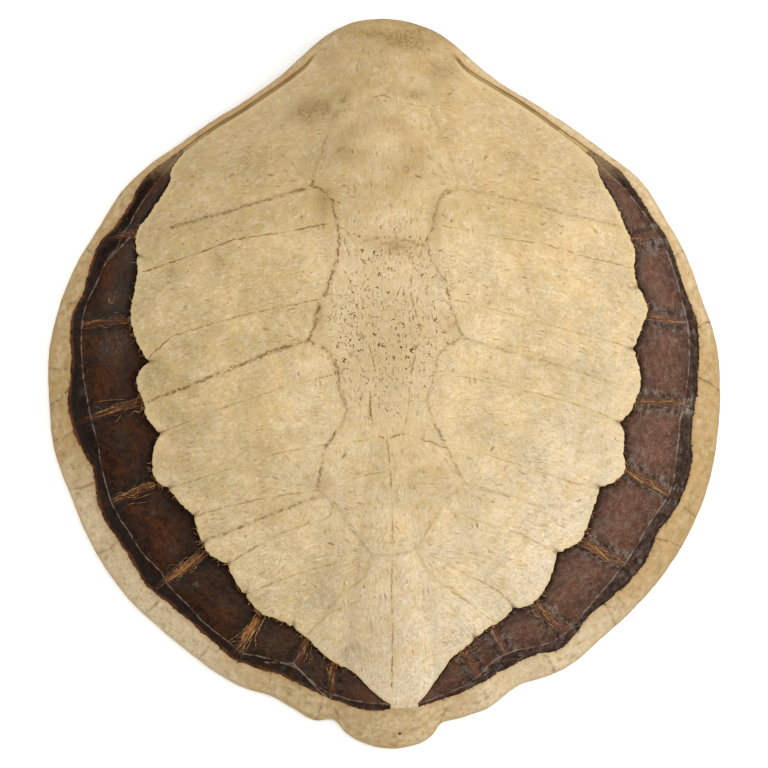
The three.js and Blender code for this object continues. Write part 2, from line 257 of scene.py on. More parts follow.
@dataclass(frozen=True)
class ShellPlan:
    """Plan and heights of the shell in millimetres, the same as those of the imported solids."""

    height: float = 178.0
    crown_y: float = 41.5
    profile: SmoothCurve = SmoothCurve((
        (0, 1), (0.25, 0.97), (0.45, 0.865), (0.6, 0.73), (0.72, 0.585), (0.82, 0.42),
        (0.9, 0.26), (0.96, 0.13), (1, 0.055)))
    bone_thickness: SmoothCurve = SmoothCurve(
        ((0, 6), (0.5, 6.5), (0.7, 8), (0.85, 10), (1, 13)))
    lift: float = 26.0
    lift_span: float = 80.0
    spine_depth: float = 11.0
    spine_half_width: float = 13.0
    spine_half_length: float = 270.0
    grooves: tuple[Pair, Pair] = ((103.0, 271.5), (-85.0, 77.0))
    groove_fade: float = 2.0
    ledge_drop: float = 4.5
    rim_drop: float = 2.5
    gap_shares: Pair = (0.12, 0.78)
    nick_width: float = 0.75
    ribs: tuple[Rib, ...] = RIBS
    outline: SmoothCurve = SmoothCurve(OUTLINE, 360.0)
    disc_edge: SmoothCurve = SmoothCurve(DISC_EDGE, 360.0)
    band_edge: SmoothCurve = SmoothCurve(BAND_EDGE, 360.0)
    fold_line: SmoothCurve = SmoothCurve(FOLD, 360.0)
    grain_slope: SmoothCurve = SmoothCurve((
        (-300, 0.9), (-200, 0.7), (-150, 0.5), (-100, 0.42), (-40, 0.28), (20, 0.3),
        (90, 0.3), (150, 0.22), (200, 0.12), (300, 0.0), (400, 0.0)))

    def margin(self, bearing: Array) -> Array:
        """Radius of the shell's margin."""
        return self.outline.at(bearing) + 0.25 * ripple(bearing, (47, 83, 131))

    def disc(self, bearing: Array) -> Array:
        """Radius of the disc's free edge."""
        bearing = np.asarray(bearing, float)
        jagged = 0.15 + 1.1 * self.in_gap(bearing)
        edge = self.disc_edge.at(bearing) + jagged * ripple(
            bearing, (83, 137, 197, 263, 331), 2.0)
        for place, depth in NICKS:
            away = np.abs((bearing - place + 180.0) % 360.0 - 180.0)
            edge = edge - depth * np.maximum(0.0, 1.0 - away / self.nick_width)
        return edge

    def band(self, bearing: Array) -> Array:
        """Radius at which the dried skin ends on the rim."""
        uneven = 0.1 + 0.3 * self.in_gap(bearing)
        return self.band_edge.at(bearing) + uneven * ripple(bearing, (67, 109, 181), 4.0)

    def neck_lift(self, bearing: Array) -> Array:
        """How far the margin is lifted over the neck."""
        away = np.abs((np.asarray(bearing) + 90.0) % 360.0 - 180.0)
        rise = self.lift * np.cos(away / self.lift_span * math.pi / 2) ** 2
        return np.where(away >= self.lift_span, 0.0, rise)

    def dome(self, bearing: Array, radius: Array) -> Array:
        """Height of the smooth dome."""
        s = np.minimum(radius / self.outline.at(bearing), 1.0)
        return self.height * self.profile.at(s) + self.neck_lift(bearing) * s**3

    def underside(self, bearing: Array, radius: Array) -> Array:
        """Depth of the bone's underside below the dome, with the ridge of the spine."""
        x = radius * np.cos(np.radians(bearing))
        y = radius * np.sin(np.radians(bearing))
        waist = 1.0 + 0.12 * np.cos(y * 2 * math.pi / 44.0)
        ridge = self.spine_depth * np.exp(-((x / (self.spine_half_width * waist)) ** 2))
        ends = np.maximum(0.0, 1.0 - (y / self.spine_half_length) ** 4)
        return self.bone_thickness.at(radius / self.outline.at(bearing)) + ridge * ends

    def openness(self, bearing: Array) -> Array:
        """1 along the gaps and grooves between disc and rim, 0 where they are grown together."""
        found = np.zeros_like(np.asarray(bearing, float))
        for start, end in self.grooves:
            past = (bearing - start) % 360.0
            span = end - start
            inside = np.where(past <= span, np.minimum(past, span - past), -1.0)
            found = np.maximum(found, np.clip(inside / self.groove_fade, 0.0, 1.0))
        return found

    def in_gap(self, column: Array) -> Array:
        """Tells where the open gaps are.

        Args:
            column: bearings at the disc's edge.

        Returns:
            1 at the columns that cross an open gap, 0 elsewhere, with soft ends.
        """
        inside = np.zeros_like(np.asarray(column, float))
        for side in Side:
            start, end = side.gap
            past = (column - start + 180.0) % 360.0 - 180.0
            left = (end - column + 180.0) % 360.0 - 180.0
            past = np.where(past < -90.0, past + 360.0, past)
            left = np.where(left < -90.0, left + 360.0, left)
            inside = np.maximum(inside, smooth_step(-3.0, 0.0, np.minimum(past, left)))
        return inside

    def ledge(self, t: Array) -> Array:
        """Depth of the bone between disc and rim, t going from 0 to 1 across."""
        return self.ledge_drop + (self.rim_drop - self.ledge_drop) * t

    def lean(self, column: Array) -> Array:
        """Degrees by which a line across the band turns on its way from disc to rim."""
        stops = [(77.0, 0.0), (103.0, 0.0), (141.0, 0.0), (269.0, 0.0), (277.0, 0.0)]
        for rib in self.ribs:
            for out, rim in (rib.left, rib.right):
                stops.append((out % 360.0, rim - out))
        xs, turns = np.array(sorted(stops)).T
        return np.interp(np.asarray(column) % 360.0, xs, turns, period=360.0)

    def polar(self, xy: Array) -> tuple[Array, Array]:
        """Bearing and radius of points about the crown."""
        away = xy - (0.0, self.crown_y)
        bearing = np.degrees(np.arctan2(away[:, 1], away[:, 0])) % 360.0
        return bearing, np.hypot(away[:, 0], away[:, 1])

    def place(self, bearing: Array, radius: Array) -> tuple[Array, Array]:
        """The x and y of points given by bearing and radius."""
        turns = np.radians(bearing)
        return radius * np.cos(turns), self.crown_y + radius * np.sin(turns)

    def across(self, bearing: Array, radius: Array) -> Array:
        """Share of the way across the band, below 0 on the disc and above 1 on the rim."""
        disc = self.disc(bearing)
        return (radius - disc) / (self.band(bearing) - disc)

    def column(self, bearing: Array, t: Array) -> Array:
        """The bearing at which the line across the band through a point leaves the disc."""
        column = np.asarray(bearing, float)
        for _ in range(4):
            column = bearing - np.clip(t, 0.0, 1.0) * self.lean(column)
        return column

    def from_rib(self, column: Array, radius: Array) -> Array:
        """Distance in millimetres to the nearest rib's middle line, along the band."""
        outs = np.array([out for rib in self.ribs for out in (rib.left[0], rib.right[0])])
        away = (np.asarray(column)[..., None] - outs + 180.0) % 360.0 - 180.0
        nearest = np.take_along_axis(
            away, np.abs(away).argmin(-1)[..., None], axis=-1)[..., 0]
        return np.radians(nearest) * radius


# --- Lines drawn on the bone, in millimetres ---

# Soft grooves where the edges of the horny scutes lay.
SULCI: tuple[Line, ...] = (
    ((-72, 179), (-115, 167), (-155, 156), (-197, 146)),
    ((-67, 41), (-102, 30), (-161, 6), (-217, -15)),
    ((-59, -100), (-91, -112), (-131, -129), (-163, -142)),
    ((56, 177), (79, 178), (134, 166), (173, 157), (226, 147)),
    ((70, 43), (108, 32), (148, 21), (215, 1)),
    ((73, -88), (86, -92), (113, -99), (141, -110)),
    ((-67, 182), (-53, 176), (-47, 168), (-43, 148), (-40, 128), (-43, 111), (-53, 80),
     (-58, 74), (-62, 53), (-68, 40)),
    ((-68, 40), (-50, 31), (-41, 15), (-40, -3), (-33, -19), (-36, -31), (-53, -56),
     (-57, -76), (-60, -94)),
    ((-60, -94), (-43, -108), (-28, -130), (-15, -149), (-10, -154), (-18, -175),
     (-34, -186), (-49, -202), (-63, -221)),
    ((69, 178), (59, 176), (49, 168), (44, 148), (39, 130), (43, 111), (55, 94), (59, 75),
     (66, 53), (70, 43)),
    ((70, 43), (55, 35), (47, 25), (42, 0), (38, -14), (45, -34), (55, -52), (64, -72),
     (73, -88)),
    ((73, -88), (56, -103), (42, -127), (29, -149), (39, -168), (51, -180), (63, -187),
     (75, -197)),
    ((-17, 130), (0, 133), (19, 130), (39, 125)),
    ((-33, -19), (2, -16), (38, -14)),
    ((-10, -154), (11, -153), (29, -149)),
    ((-48, 244), (-56, 215), (-67, 182)),
    ((43, 254), (58, 216), (69, 178)),
)

# How clearly each groove shows.
SULCUS_INK: tuple[float, ...] = (
    0.75, 0.9, 0.6, 0.4, 0.35, 0.3, 0.95, 0.75, 0.3, 0.6, 0.45, 0.3, 0.5, 0.15, 0.3,
    0.4, 0.2,
)

# Sutures between the bony plates.
SUTURES: tuple[Line, ...] = (
    ((-50, 146), (-92, 138), (-135, 133), (-182, 117), (-224, 105)),
    ((-59, 77), (-125, 64), (-194, 45), (-218, 23)),
    ((-45, 10), (-88, -1), (-148, -21), (-207, -44)),
    ((-41, -51), (-93, -60), (-148, -78), (-199, -95)),
    ((-60, -94), (-110, -102), (-149, -112), (-176, -121)),
    ((-49, -119), (-90, -132), (-117, -147), (-145, -165)),
    ((-34, -158), (-60, -166), (-95, -178), (-128, -193)),
    ((-21, -196), (-49, -208), (-72, -232)),
    ((51, 144), (78, 140), (109, 133), (144, 129), (189, 117), (233, 109)),
    ((59, 77), (77, 74), (140, 57), (188, 45), (231, 34)),
    ((50, 10), (77, 7), (165, -14), (188, -22), (218, -34)),
    ((56, -56), (81, -58), (132, -75), (173, -89), (200, -95)),
    ((65, -112), (78, -120), (126, -136), (161, -155)),
    ((51, -158), (79, -174), (107, -190), (121, -206)),
    ((63, -189), (75, -197), (89, -209), (102, -219)),
    ((-35, 257), (-14, 264), (1, 267), (13, 260), (38, 256)),
    ((-13, -11), (-12, -26), (-6, -45), (2, -47), (16, -43), (21, -26)),
    ((2, -47), (5, -67), (7, -103), (8, -140), (7, -176), (8, -234), (7, -284)),
    ((4, -77), (-12, -79), (-27, -84)),
    ((-2, -141), (19, -140)),
    ((-50, 146), (-34, 140), (-15, 108), (-12, 93), (-21, 81), (-39, 81), (-53, 82)),
    ((-21, 81), (-17, 66), (-15, 50), (-13, 35)),
    ((-13, 35), (-8, 12), (-13, -11)),
    ((37, 144), (25, 111), (24, 80), (33, 50), (25, 16), (21, -26)),
    ((-59, 77), (-53, 82)),
    ((-41, -51), (-17, -49), (-6, -45)),
    ((16, -43), (37, -49), (56, -56)),
    ((-27, -84), (-43, -98), (-49, -119)),
    ((-47, -308), (-43, -315), (-46, -318)),
    ((60, -306), (55, -315), (54, -321)),
)

# How clearly each suture shows.
SUTURE_INK: tuple[float, ...] = (
    1.0, 0.8, 0.55, 0.5, 0.6, 0.6, 0.6, 0.45, 0.7, 0.5, 0.45, 0.45, 0.5, 0.5, 0.45, 0.8,
    1.0, 0.75, 0.6, 0.5, 0.5, 0.5, 0.6, 0.75, 0.35, 0.4, 0.8, 0.6, 0.5, 0.4,
)

# Sutures between the bones of the rim: bearings at the skin's edge and at the margin.
RIM_SUTURES: tuple[Pair, ...] = (
    (150, 149), (163, 162.4), (172.6, 172.8), (184.8, 184.4), (188.5, 190.8), (196, 196.6),
    (206, 205), (217, 216.4), (229, 228.4), (240, 239.6), (251, 251.4), (260, 259.8),
    (31, 31.5), (16, 17), (2.5, 3.6), (-6.5, -8.4), (-18, -18.8), (-29, -29.4),
    (-36, -34.6), (-50, -50.8), (-63, -62.6), (-74, -74.4),
)

# How clearly each of them shows.
RIM_INK: tuple[float, ...] = (
    0.3, 0.5, 0.4, 0.4, 0.8, 0.5, 0.5, 0.45, 0.5, 0.45, 0.4, 0.5, 0.3, 0.4, 0.8, 1.0, 0.4, 0.55,
    0.7, 0.35, 0.4, 0.35,
)


# Brown stains on the bone: middle, half width, half depth and strength.
STAINS: tuple[tuple[float, float, float, float, float], ...] = (
    (-66, 254, 23, 13, 0.8), (-40, 264, 11, 9, 0.6), (21, 326, 26, 12, 0.85),
    (55, 293, 15, 10, 0.65), (34, 268, 11, 9, 0.55), (10, 125, 19, 6, 0.6),
    (-35, 212, 15, 11, 0.4), (-55, 165, 7, 18, 0.6), (18, 198, 22, 15, 0.35),
    (46, 150, 6, 22, 0.45), (-57, 60, 6, 20, 0.5), (-58, -90, 12, 8, 0.4),
    (60, 52, 8, 14, 0.35), (0, 20, 30, 46, 0.22), (-12, 331, 20, 9, 0.65),
    (-20, 236, 20, 14, 0.25), (-26, -242, 4, 2.4, 1.0), (-11, -221.5, 1.8, 3, 1.0),
)

# Pale patches on the dried skin, partly dust and partly a painted sheen: middle, radius and
# strength.
SKIN_PATCHES: tuple[tuple[float, float, float, float], ...] = (
    (286, -21, 6, 0.9), (-175, -185, 2.5, 0.6), (-197, -155, 5, 0.14), (273, 44, 5, 0.4),
    (-282, -5, 4, 0.3), (252, 128, 7, 0.35), (-214, -118, 3, 0.15), (262, -92, 5, 0.3),
    (-253, 38, 17, 0.2), (240, -160, 7, 0.25), (-236, 120, 9, 0.16), (-253, 82, 13, 0.13),
    (-243, -48, 8, 0.06), (-190, -175, 7, 0.07), (-150, -208, 8, 0.08), (-105, -243, 9, 0.12),
    (262, 60, 9, 0.16), (243, -60, 12, 0.14), (212, -128, 14, 0.12), (190, -185, 12, 0.1),
)

# Points that the fibres of the bone fan out from.
FANS: tuple[Pair, ...] = (
    (-60, -94), (-68, 40), (-66, 182), (-10, -154), (73, -88), (70, 43), (69, 178), (29, -149),
)

# Side branches of the skin's pale fold.
FOLD_BRANCHES: tuple[Line, ...] = (
    ((-85, -261), (-72, -240)), ((-85, -261), (-51, -299)), ((-51, -299), (-47, -269)),
    ((-112, -261), (-85, -261)), ((100, -228), (113, -250)), ((-235, 143), (-259, 120)),
    ((275, 60), (288, 60)), ((277, -16), (288, -20)),
)


@dataclass(frozen=True)
class LineNetwork:
    """Lines on the bone, as seen from points near them."""

    lines: tuple[Line, ...]
    inks: tuple[float, ...] = ()

    def offsets(self, xy: Array) -> Array:
        """The way from the nearest line to each point.

        Args:
            xy: rows of x and y in millimetres.

        Returns:
            Rows of x and y of that way, its length and the line's ink.
        """
        best = np.full((len(xy), 4), FAR)
        inks = self.inks + (1.0,) * (len(self.lines) - len(self.inks))
        for line, ink in zip(self.lines, inks):
            for start, end in zip(np.array(line, float), np.array(line, float)[1:]):
                way = end - start
                share = np.clip((xy - start) @ way / (way @ way), 0.0, 1.0)
                off = xy - (start + share[:, None] * way)
                length = np.hypot(off[:, 0], off[:, 1])
                nearer = length < best[:, 2]
                found = np.column_stack([off, length, np.full(len(xy), ink)])
                best[nearer] = found[nearer]
        return best


# --- Meshes ---


def finish_mesh(name: str, form: bmesh.types.BMesh) -> bpy.types.Object:
    """Makes a smooth-shaded object at the origin.

    Args:
        name: the piece's name.
        form: its shape in metres, freed here.

    Returns:
        The new object.
    """
    for face in form.faces:
        face.smooth = True
    data = bpy.data.meshes.new(name)
    form.to_mesh(data)
    form.free()
    piece = bpy.data.objects.new(name, data)
    bpy.context.scene.collection.objects.link(piece)
    return piece


def coordinates(data: bpy.types.Mesh) -> Array:
    """The vertices of a mesh in millimetres."""
    flat = np.zeros(len(data.vertices) * 3)
    data.vertices.foreach_get("co", flat)
    return flat.reshape(-1, 3) / MM


def paint(data: bpy.types.Mesh, name: str, values: Array) -> None:
    """Stores three numbers on each vertex for a finish to read."""
    layer = data.attributes.new(name, "FLOAT_VECTOR", "POINT")
    layer.data.foreach_set("vector", values.astype(np.float32).ravel())


def move_all(form: bmesh.types.BMesh, xyz: Array) -> None:
    """Puts the vertices of a form at the given places, in millimetres."""
    for vert, place in zip(form.verts, (xyz * MM).tolist()):
        vert.co = place


class Ring(Enum):
    """The stretches of the bone's section that have a rule of their own."""

    DISC = "disc"
    LIP = "lip"
    WALL = "wall"
    LEDGE = "ledge"
    RIM = "rim"
    EDGE = "edge"
    FOOT = "foot"
    LEDGE_BELOW = "ledge_below"
    DISC_BELOW = "disc_below"


@dataclass
class BoneShell:
    """The bone: disc, ribs, rim and tail plate as one closed body."""

    plan: ShellPlan
    columns: int = 768
    disc_rings: int = 52
    disc_rings_below: int = 14
    lip_width: float = 11.0
    lip_rise: float = 1.3
    lip_round: float = 2.6
    lip_steps: tuple[float, ...] = (8.5, 6.4, 4.8, 3.5, 2.4, 1.5, 0.8, 0.3, 0.05)
    wall_steps: tuple[Pair, ...] = ((0.1, 0.5), (0.25, 0.85), (0.5, 1.0))
    ledge_steps: tuple[float, ...] = (
        0.05, 0.12, 0.21, 0.31, 0.42, 0.54, 0.66, 0.78, 0.88, 0.95, 1.0)
    rim_steps: tuple[Pair, ...] = (
        (0.03, -1.3), (0.08, -0.3), (0.15, 0.5), (0.25, 1.0), (0.37, 1.3), (0.5, 1.4),
        (0.62, 1.2), (0.74, 0.9), (0.85, 0.3), (0.93, -0.6))
    edge_steps: tuple[Pair, ...] = ((0.9, 9.2), (0.2, 8.0), (0.0, 6.4), (0.3, 4.0), (1.2, 1.8))
    edge_share: float = 0.1
    foot_inset: float = 4.0
    foot_width: float = 10.0
    foot_shares: Pair = (0.3, 0.65)
    rim_depth: float = 14.0
    rib_half_width: float = 7.0
    rib_height: float = 8.0
    wall_width: float = 0.5
    rim_seam_bend: float = 0.3
    sulcus_depth: float = 0.5
    sulcus_width: float = 3.0
    plate_swell: float = 0.25
    plate_half_width: float = 13.0
    hills: tuple[tuple[float, float, float], ...] = ((0.6, 46.0, 9.0), (0.4, 17.0, 5.0))
    rim_hills: tuple[tuple[float, float, float], ...] = ((0.9, 15.0, 21.0), (0.35, 6.0, 7.0))
    piece: bpy.types.Object = field(init=False)

    def rings(self) -> list[tuple[Ring, float, float]]:
        """The rings of the section, crown to margin and back below: rule, place and rise."""
        shares = np.linspace(0.0, 1.0, self.disc_rings)
        below = np.linspace(1.0, 0.0, self.disc_rings_below)
        return [
            *((Ring.DISC, share, 0.0) for share in shares),
            *((Ring.LIP, inside, 0.0) for inside in self.lip_steps),
            *((Ring.WALL, out, drop) for out, drop in self.wall_steps),
            *((Ring.LEDGE, t, 0.0) for t in self.ledge_steps),
            *((Ring.RIM, share, rise) for share, rise in self.rim_steps),
            *((Ring.EDGE, inset, rise) for inset, rise in self.edge_steps),
            *((Ring.FOOT, share, 0.0) for share in (0.0, 0.5, 1.0)),
            *((Ring.LEDGE_BELOW, t, 0.0) for t in reversed(self.ledge_steps)),
            *((Ring.DISC_BELOW, share, 0.0) for share in below),
        ]

    def rib_crown(self, column: Array, radius: Array) -> Array:
        """1 along the middle of a rib in the gap, 0 beside it."""
        return np.exp(-((self.plan.from_rib(column, radius) / self.rib_half_width) ** 2))

    def ring_line(self, rule: Ring, share: float, rise: float, column: Array) -> Array:
        """One ring of the bone.

        Args:
            rule: the stretch of the section it belongs to.
            share: its place in that stretch.
            rise: its height above the dome or the ground, where the rule uses one.
            column: the bearings of the columns at the disc's edge.

        Returns:
            Rows of x, y and z in millimetres.
        """
        plan = self.plan
        at_ledge = rule in (Ring.LEDGE, Ring.LEDGE_BELOW)
        inner = rule in (Ring.DISC, Ring.LIP, Ring.WALL, Ring.DISC_BELOW)
        t = share if at_ledge else 0.0 if inner else 1.0
        bearing = column + plan.lean(column) * t
        disc, band, margin = plan.disc(bearing), plan.band(bearing), plan.margin(bearing)
        open_here, lift, rim = plan.openness(bearing), plan.neck_lift(bearing), margin - band
        if rule is Ring.DISC:
            radius = (disc - self.lip_width) * share
            height = plan.dome(bearing, radius)
        elif rule is Ring.LIP:
            radius = disc - share
            inset = max(0.0, self.lip_round - share)
            sink = self.lip_round - math.sqrt(self.lip_round**2 - inset**2)
            swell = self.lip_rise * (1.0 - share / self.lip_width)
            height = plan.dome(bearing, radius) + open_here * (swell - sink)
        elif rule is Ring.WALL:
            radius = disc + share
            drop = plan.ledge_drop * rise + (1.0 - rise) * self.lip_round * 0.6
            height = plan.dome(bearing, radius) - open_here * drop
        elif rule is Ring.LEDGE:
            radius = disc + self.wall_width + (band - disc - self.wall_width) * share
            crown = self.rib_crown(column, radius)
            height = plan.dome(bearing, radius) - open_here * (plan.ledge(share) + 1 - crown)
        elif rule is Ring.RIM:
            radius = band + rim * share
            start = smooth_step(0.0, 0.12, np.full_like(radius, share))
            fall = rise * (start + (1.0 - start) * open_here)
            height = plan.dome(bearing, radius) + fall
        elif rule is Ring.EDGE:
            radius = margin - np.minimum(share, rim * self.edge_share)
            height = lift + rise
        elif rule is Ring.FOOT:
            near = np.minimum(self.foot_inset, rim * self.foot_shares[0])
            far = np.minimum(self.foot_inset + self.foot_width, rim * self.foot_shares[1])
            radius = margin - (near + (far - near) * share)
            height = lift
        elif rule is Ring.LEDGE_BELOW:
            radius = disc + self.wall_width + (band - disc - self.wall_width) * share
            crown = self.rib_crown(column, radius)
            plate = plan.dome(bearing, radius) - plan.underside(bearing, radius)
            bar = plan.dome(bearing, radius) - plan.ledge(share) - self.rib_height * crown
            corner = smooth_step(0.8, 1.0, np.full_like(radius, share))
            rim_face = plan.dome(bearing, radius) - self.rim_depth
            in_gap = plan.in_gap(column) * smooth_step(0.02, 0.12, np.full_like(radius, share))
            height = plate + (bar - plate) * in_gap * (1.0 - corner)
            height = height + (np.maximum(rim_face, lift) - height) * corner
        else:
            radius = (disc - 1.0) * share
            height = plan.dome(bearing, radius) - plan.underside(bearing, radius)
        x, y = plan.place(bearing, radius)
        return np.column_stack([x, y, height])

    def windows(self, form: bmesh.types.BMesh, rules: list[Ring]) -> list[bmesh.types.BMFace]:
        """Finds what to take out between the ribs.

        Args:
            form: the flat form, its rings as circles.
            rules: the rule of each ring.

        Returns:
            The faces that lie over or under an open gap, clear of the ribs.
        """
        found = []
        top = rules.index(Ring.LEDGE)
        below = rules.index(Ring.LEDGE_BELOW)
        first, last = (self.ledge_steps.index(share) for share in self.plan.gap_shares)
        count = len(self.ledge_steps)
        spans = ((top + first, top + last),
                 (below + count - 1 - last, below + count - 1 - first))
        for face in form.faces:
            middle = face.calc_center_median()
            ring = math.hypot(middle.x, middle.y)
            if not any(low < ring < high for low, high in spans):
                continue
            column = math.degrees(math.atan2(middle.y, middle.x)) % 360.0
            for side in Side:
                start, end = side.gap
                if (column - start) % 360.0 > end - start:
                    continue
                radius = float(self.plan.disc(column) + self.plan.band(column)) / 2
                if abs(float(self.plan.from_rib(column, radius))) > self.rib_half_width:
                    found.append(face)
        return found

    def relief(self, xyz: Array, on_top: Array) -> Array:
        """How far the outer surface rises or sinks: scute grooves, swelling plates and dents.

        Args:
            xyz: places on the shell in millimetres.
            on_top: 1 for places on the outer surface.

        Returns:
            One height for each place.
        """
        bearing, radius = self.plan.polar(xyz[:, :2])
        disc = self.plan.disc(bearing)
        on_disc = 1.0 - smooth_step(-6.0, -1.5, radius - disc)
        grooves = LineNetwork(SULCI, SULCUS_INK).offsets(xyz[:, :2])
        seams = LineNetwork(SUTURES).offsets(xyz[:, :2])[:, 2]
        broken = (0.7 + 1.1 * rough(xyz, 24.0, 3.0)) * grooves[:, 3]
        shape = -self.sulcus_depth * broken * np.exp(
            -((grooves[:, 2] / self.sulcus_width) ** 2))
        shape += self.plate_swell * (smooth_step(0.0, self.plate_half_width, seams) - 1.0)
        shape *= on_disc
        shape += sum(high * rough(xyz, wide, seed) for high, wide, seed in self.hills)
        rim = smooth_step(0.0, 5.0, radius - self.plan.band(bearing))
        shape += rim * sum(high * rough(xyz, wide, seed) for high, wide, seed in self.rim_hills)
        return shape * on_top

    def close_windows(self, form: bmesh.types.BMesh) -> None:
        """Joins the outer and inner border of each window by a wall.

        Args:
            form: the bone with its windows open.
        """
        border = {edge for edge in form.edges if edge.is_boundary}
        loops: list[list[bmesh.types.BMEdge]] = []
        while border:
            loop, waiting = [], [border.pop()]
            while waiting:
                edge = waiting.pop()
                loop.append(edge)
                for vert in edge.verts:
                    linked = [e for e in vert.link_edges if e in border]
                    border.difference_update(linked)
                    waiting.extend(linked)
            loops.append(loop)

        def bearing_of(loop: list[bmesh.types.BMEdge]) -> float:
            """Mean bearing of a border."""
            middle = sum((vert.co for edge in loop for vert in edge.verts), Vector()) / (
                2 * len(loop))
            return math.degrees(math.atan2(middle.y - self.plan.crown_y * MM, middle.x)) % 360

        loops.sort(key=bearing_of)
        for one, other in zip(loops[::2], loops[1::2]):
            bmesh.ops.bridge_loops(form, edges=one + other)
        LOG.info("bone: %d windows between the ribs", len(loops) // 2)

    def build(self) -> bpy.types.Object:
        """Models the bone.

        Returns:
            The finished piece.
        """
        rings = self.rings()
        form = bmesh.new()
        for ring in range(len(rings)):
            form.verts.new((ring, 0.0, 0.0))
        form.verts.ensure_lookup_table()
        for ring in range(len(rings) - 1):
            form.edges.new((form.verts[ring], form.verts[ring + 1]))
        bmesh.ops.spin(
            form, geom=form.verts[:] + form.edges[:], cent=(0, 0, 0), axis=(0, 0, 1),
            dvec=(0, 0, 0), angle=2 * math.pi, steps=self.columns, use_merge=True)
        flat = np.array([vert.co[:] for vert in form.verts])
        number = np.rint(np.hypot(flat[:, 0], flat[:, 1])).astype(int)
        turn = np.arctan2(flat[:, 1], flat[:, 0]) / (2 * math.pi) * self.columns
        column = np.rint(turn).astype(int) % self.columns
        rules = [rule for rule, _, _ in rings]
        faces = self.windows(form, rules)
        below = [float(rule in (Ring.FOOT, Ring.LEDGE_BELOW, Ring.DISC_BELOW)) for rule in rules]
        layer = form.verts.layers.float.new("below")
        for vert, ring in zip(form.verts, number):
            vert[layer] = below[ring]
        bearings = np.arange(self.columns) * 360.0 / self.columns
        lines = np.array([self.ring_line(*ring, bearings) for ring in rings])
        places = lines[number, column]
        outer = np.array([rule in (Ring.DISC, Ring.LIP, Ring.RIM) for rule in rules], float)
        places[:, 2] += self.relief(places, outer[number])
        move_all(form, places)
        bmesh.ops.delete(form, geom=faces, context="FACES")
        bmesh.ops.remove_doubles(form, verts=form.verts[:], dist=1e-6)
        self.close_windows(form)
        bmesh.ops.recalc_face_normals(form, faces=form.faces[:])
        self.piece = finish_mesh("bone_shell", form)
        self.mark()
        return self.piece

    def rim_seams(self) -> tuple[Line, ...]:
        """The sutures between the bones of the rim, bent a little on their way outwards."""
        lines = []
        for inner, outer in RIM_SUTURES:
            band, margin = float(self.plan.band(inner)), float(self.plan.margin(outer))
            middle = (inner + outer) / 2 + self.rim_seam_bend
            x, y = self.plan.place(np.array([inner, middle, outer]),
                                   np.array([band, (band + margin) / 2, margin]))
            lines.append(tuple(zip(x.tolist(), y.tolist())))
        return tuple(lines)

    def mark_lines(self, xy: Array, past_disc: Array) -> None:
        """Stores the ways to the nearest suture and scute groove, and how clearly they show.

        Args:
            xy: places in millimetres.
            past_disc: how far each one lies outside the disc's edge.
        """
        data = self.piece.data
        seams = LineNetwork(SUTURES + self.rim_seams(), SUTURE_INK + RIM_INK).offsets(xy)
        grooves = LineNetwork(SULCI, SULCUS_INK).offsets(xy)
        outwards = smooth_step(-75.0, -8.0, past_disc)
        paint(data, "suture", seams[:, :3])
        paint(data, "sulcus", grooves[:, :3])
        paint(data, "inks", np.column_stack([seams[:, 3], grooves[:, 3], outwards]))

    def mark_grain(self, xy: Array) -> None:
        """Stores how the bone's fibres run: outwards, in the middle strip and in the fans.

        Args:
            xy: places in millimetres.
        """
        ahead = xy[:, 1].copy()
        for _ in range(8):
            slope = self.plan.grain_slope.at(np.clip(ahead, -300, 400))
            ahead = xy[:, 1] + np.abs(xy[:, 0]) * slope
        middle = 1.0 - smooth_step(34.0, 62.0, np.abs(xy[:, 0]) + 6 * rough(xy, 30.0, 2.0))
        paint(self.piece.data, "grain", np.column_stack([xy[:, 0], ahead, middle]))
        nearest = np.full((len(xy), 2), FAR)
        for centre in FANS:
            off = xy - centre
            nearer = np.hypot(*off.T) < np.hypot(*nearest.T)
            nearest[nearer] = off[nearer]
        fan = 1.0 - smooth_step(26.0, 52.0, np.hypot(*nearest.T))
        paint(self.piece.data, "fan", np.column_stack([nearest, fan]))

    def mark_spots(self, xy: Array, bearing: Array, radius: Array) -> None:
        """Stores the brown stains, the nicks in the disc's edge and which side is below.

        Args:
            xy: places in millimetres.
            bearing: their bearings.
            radius: their distances from the crown.
        """
        data = self.piece.data
        spots, nicks, below = (np.zeros(len(xy)) for _ in range(3))
        data.attributes["below"].data.foreach_get("value", below)
        for px, py, wide, deep, strength in STAINS:
            ring = ((xy[:, 0] - px) / wide) ** 2 + ((xy[:, 1] - py) / deep) ** 2
            spots = np.maximum(spots, strength * np.exp(-ring))
        disc = self.plan.disc(bearing)
        inside = np.maximum(disc - radius, 0.0)
        for place, _ in NICKS:
            along = np.radians((bearing - place + 180.0) % 360.0 - 180.0) * radius
            nicks = np.maximum(nicks, np.exp(-((along / 2.0) ** 2) - (inside / 6.0) ** 2))
        paint(data, "spots", np.column_stack([spots, nicks * (radius < disc + 1), below]))

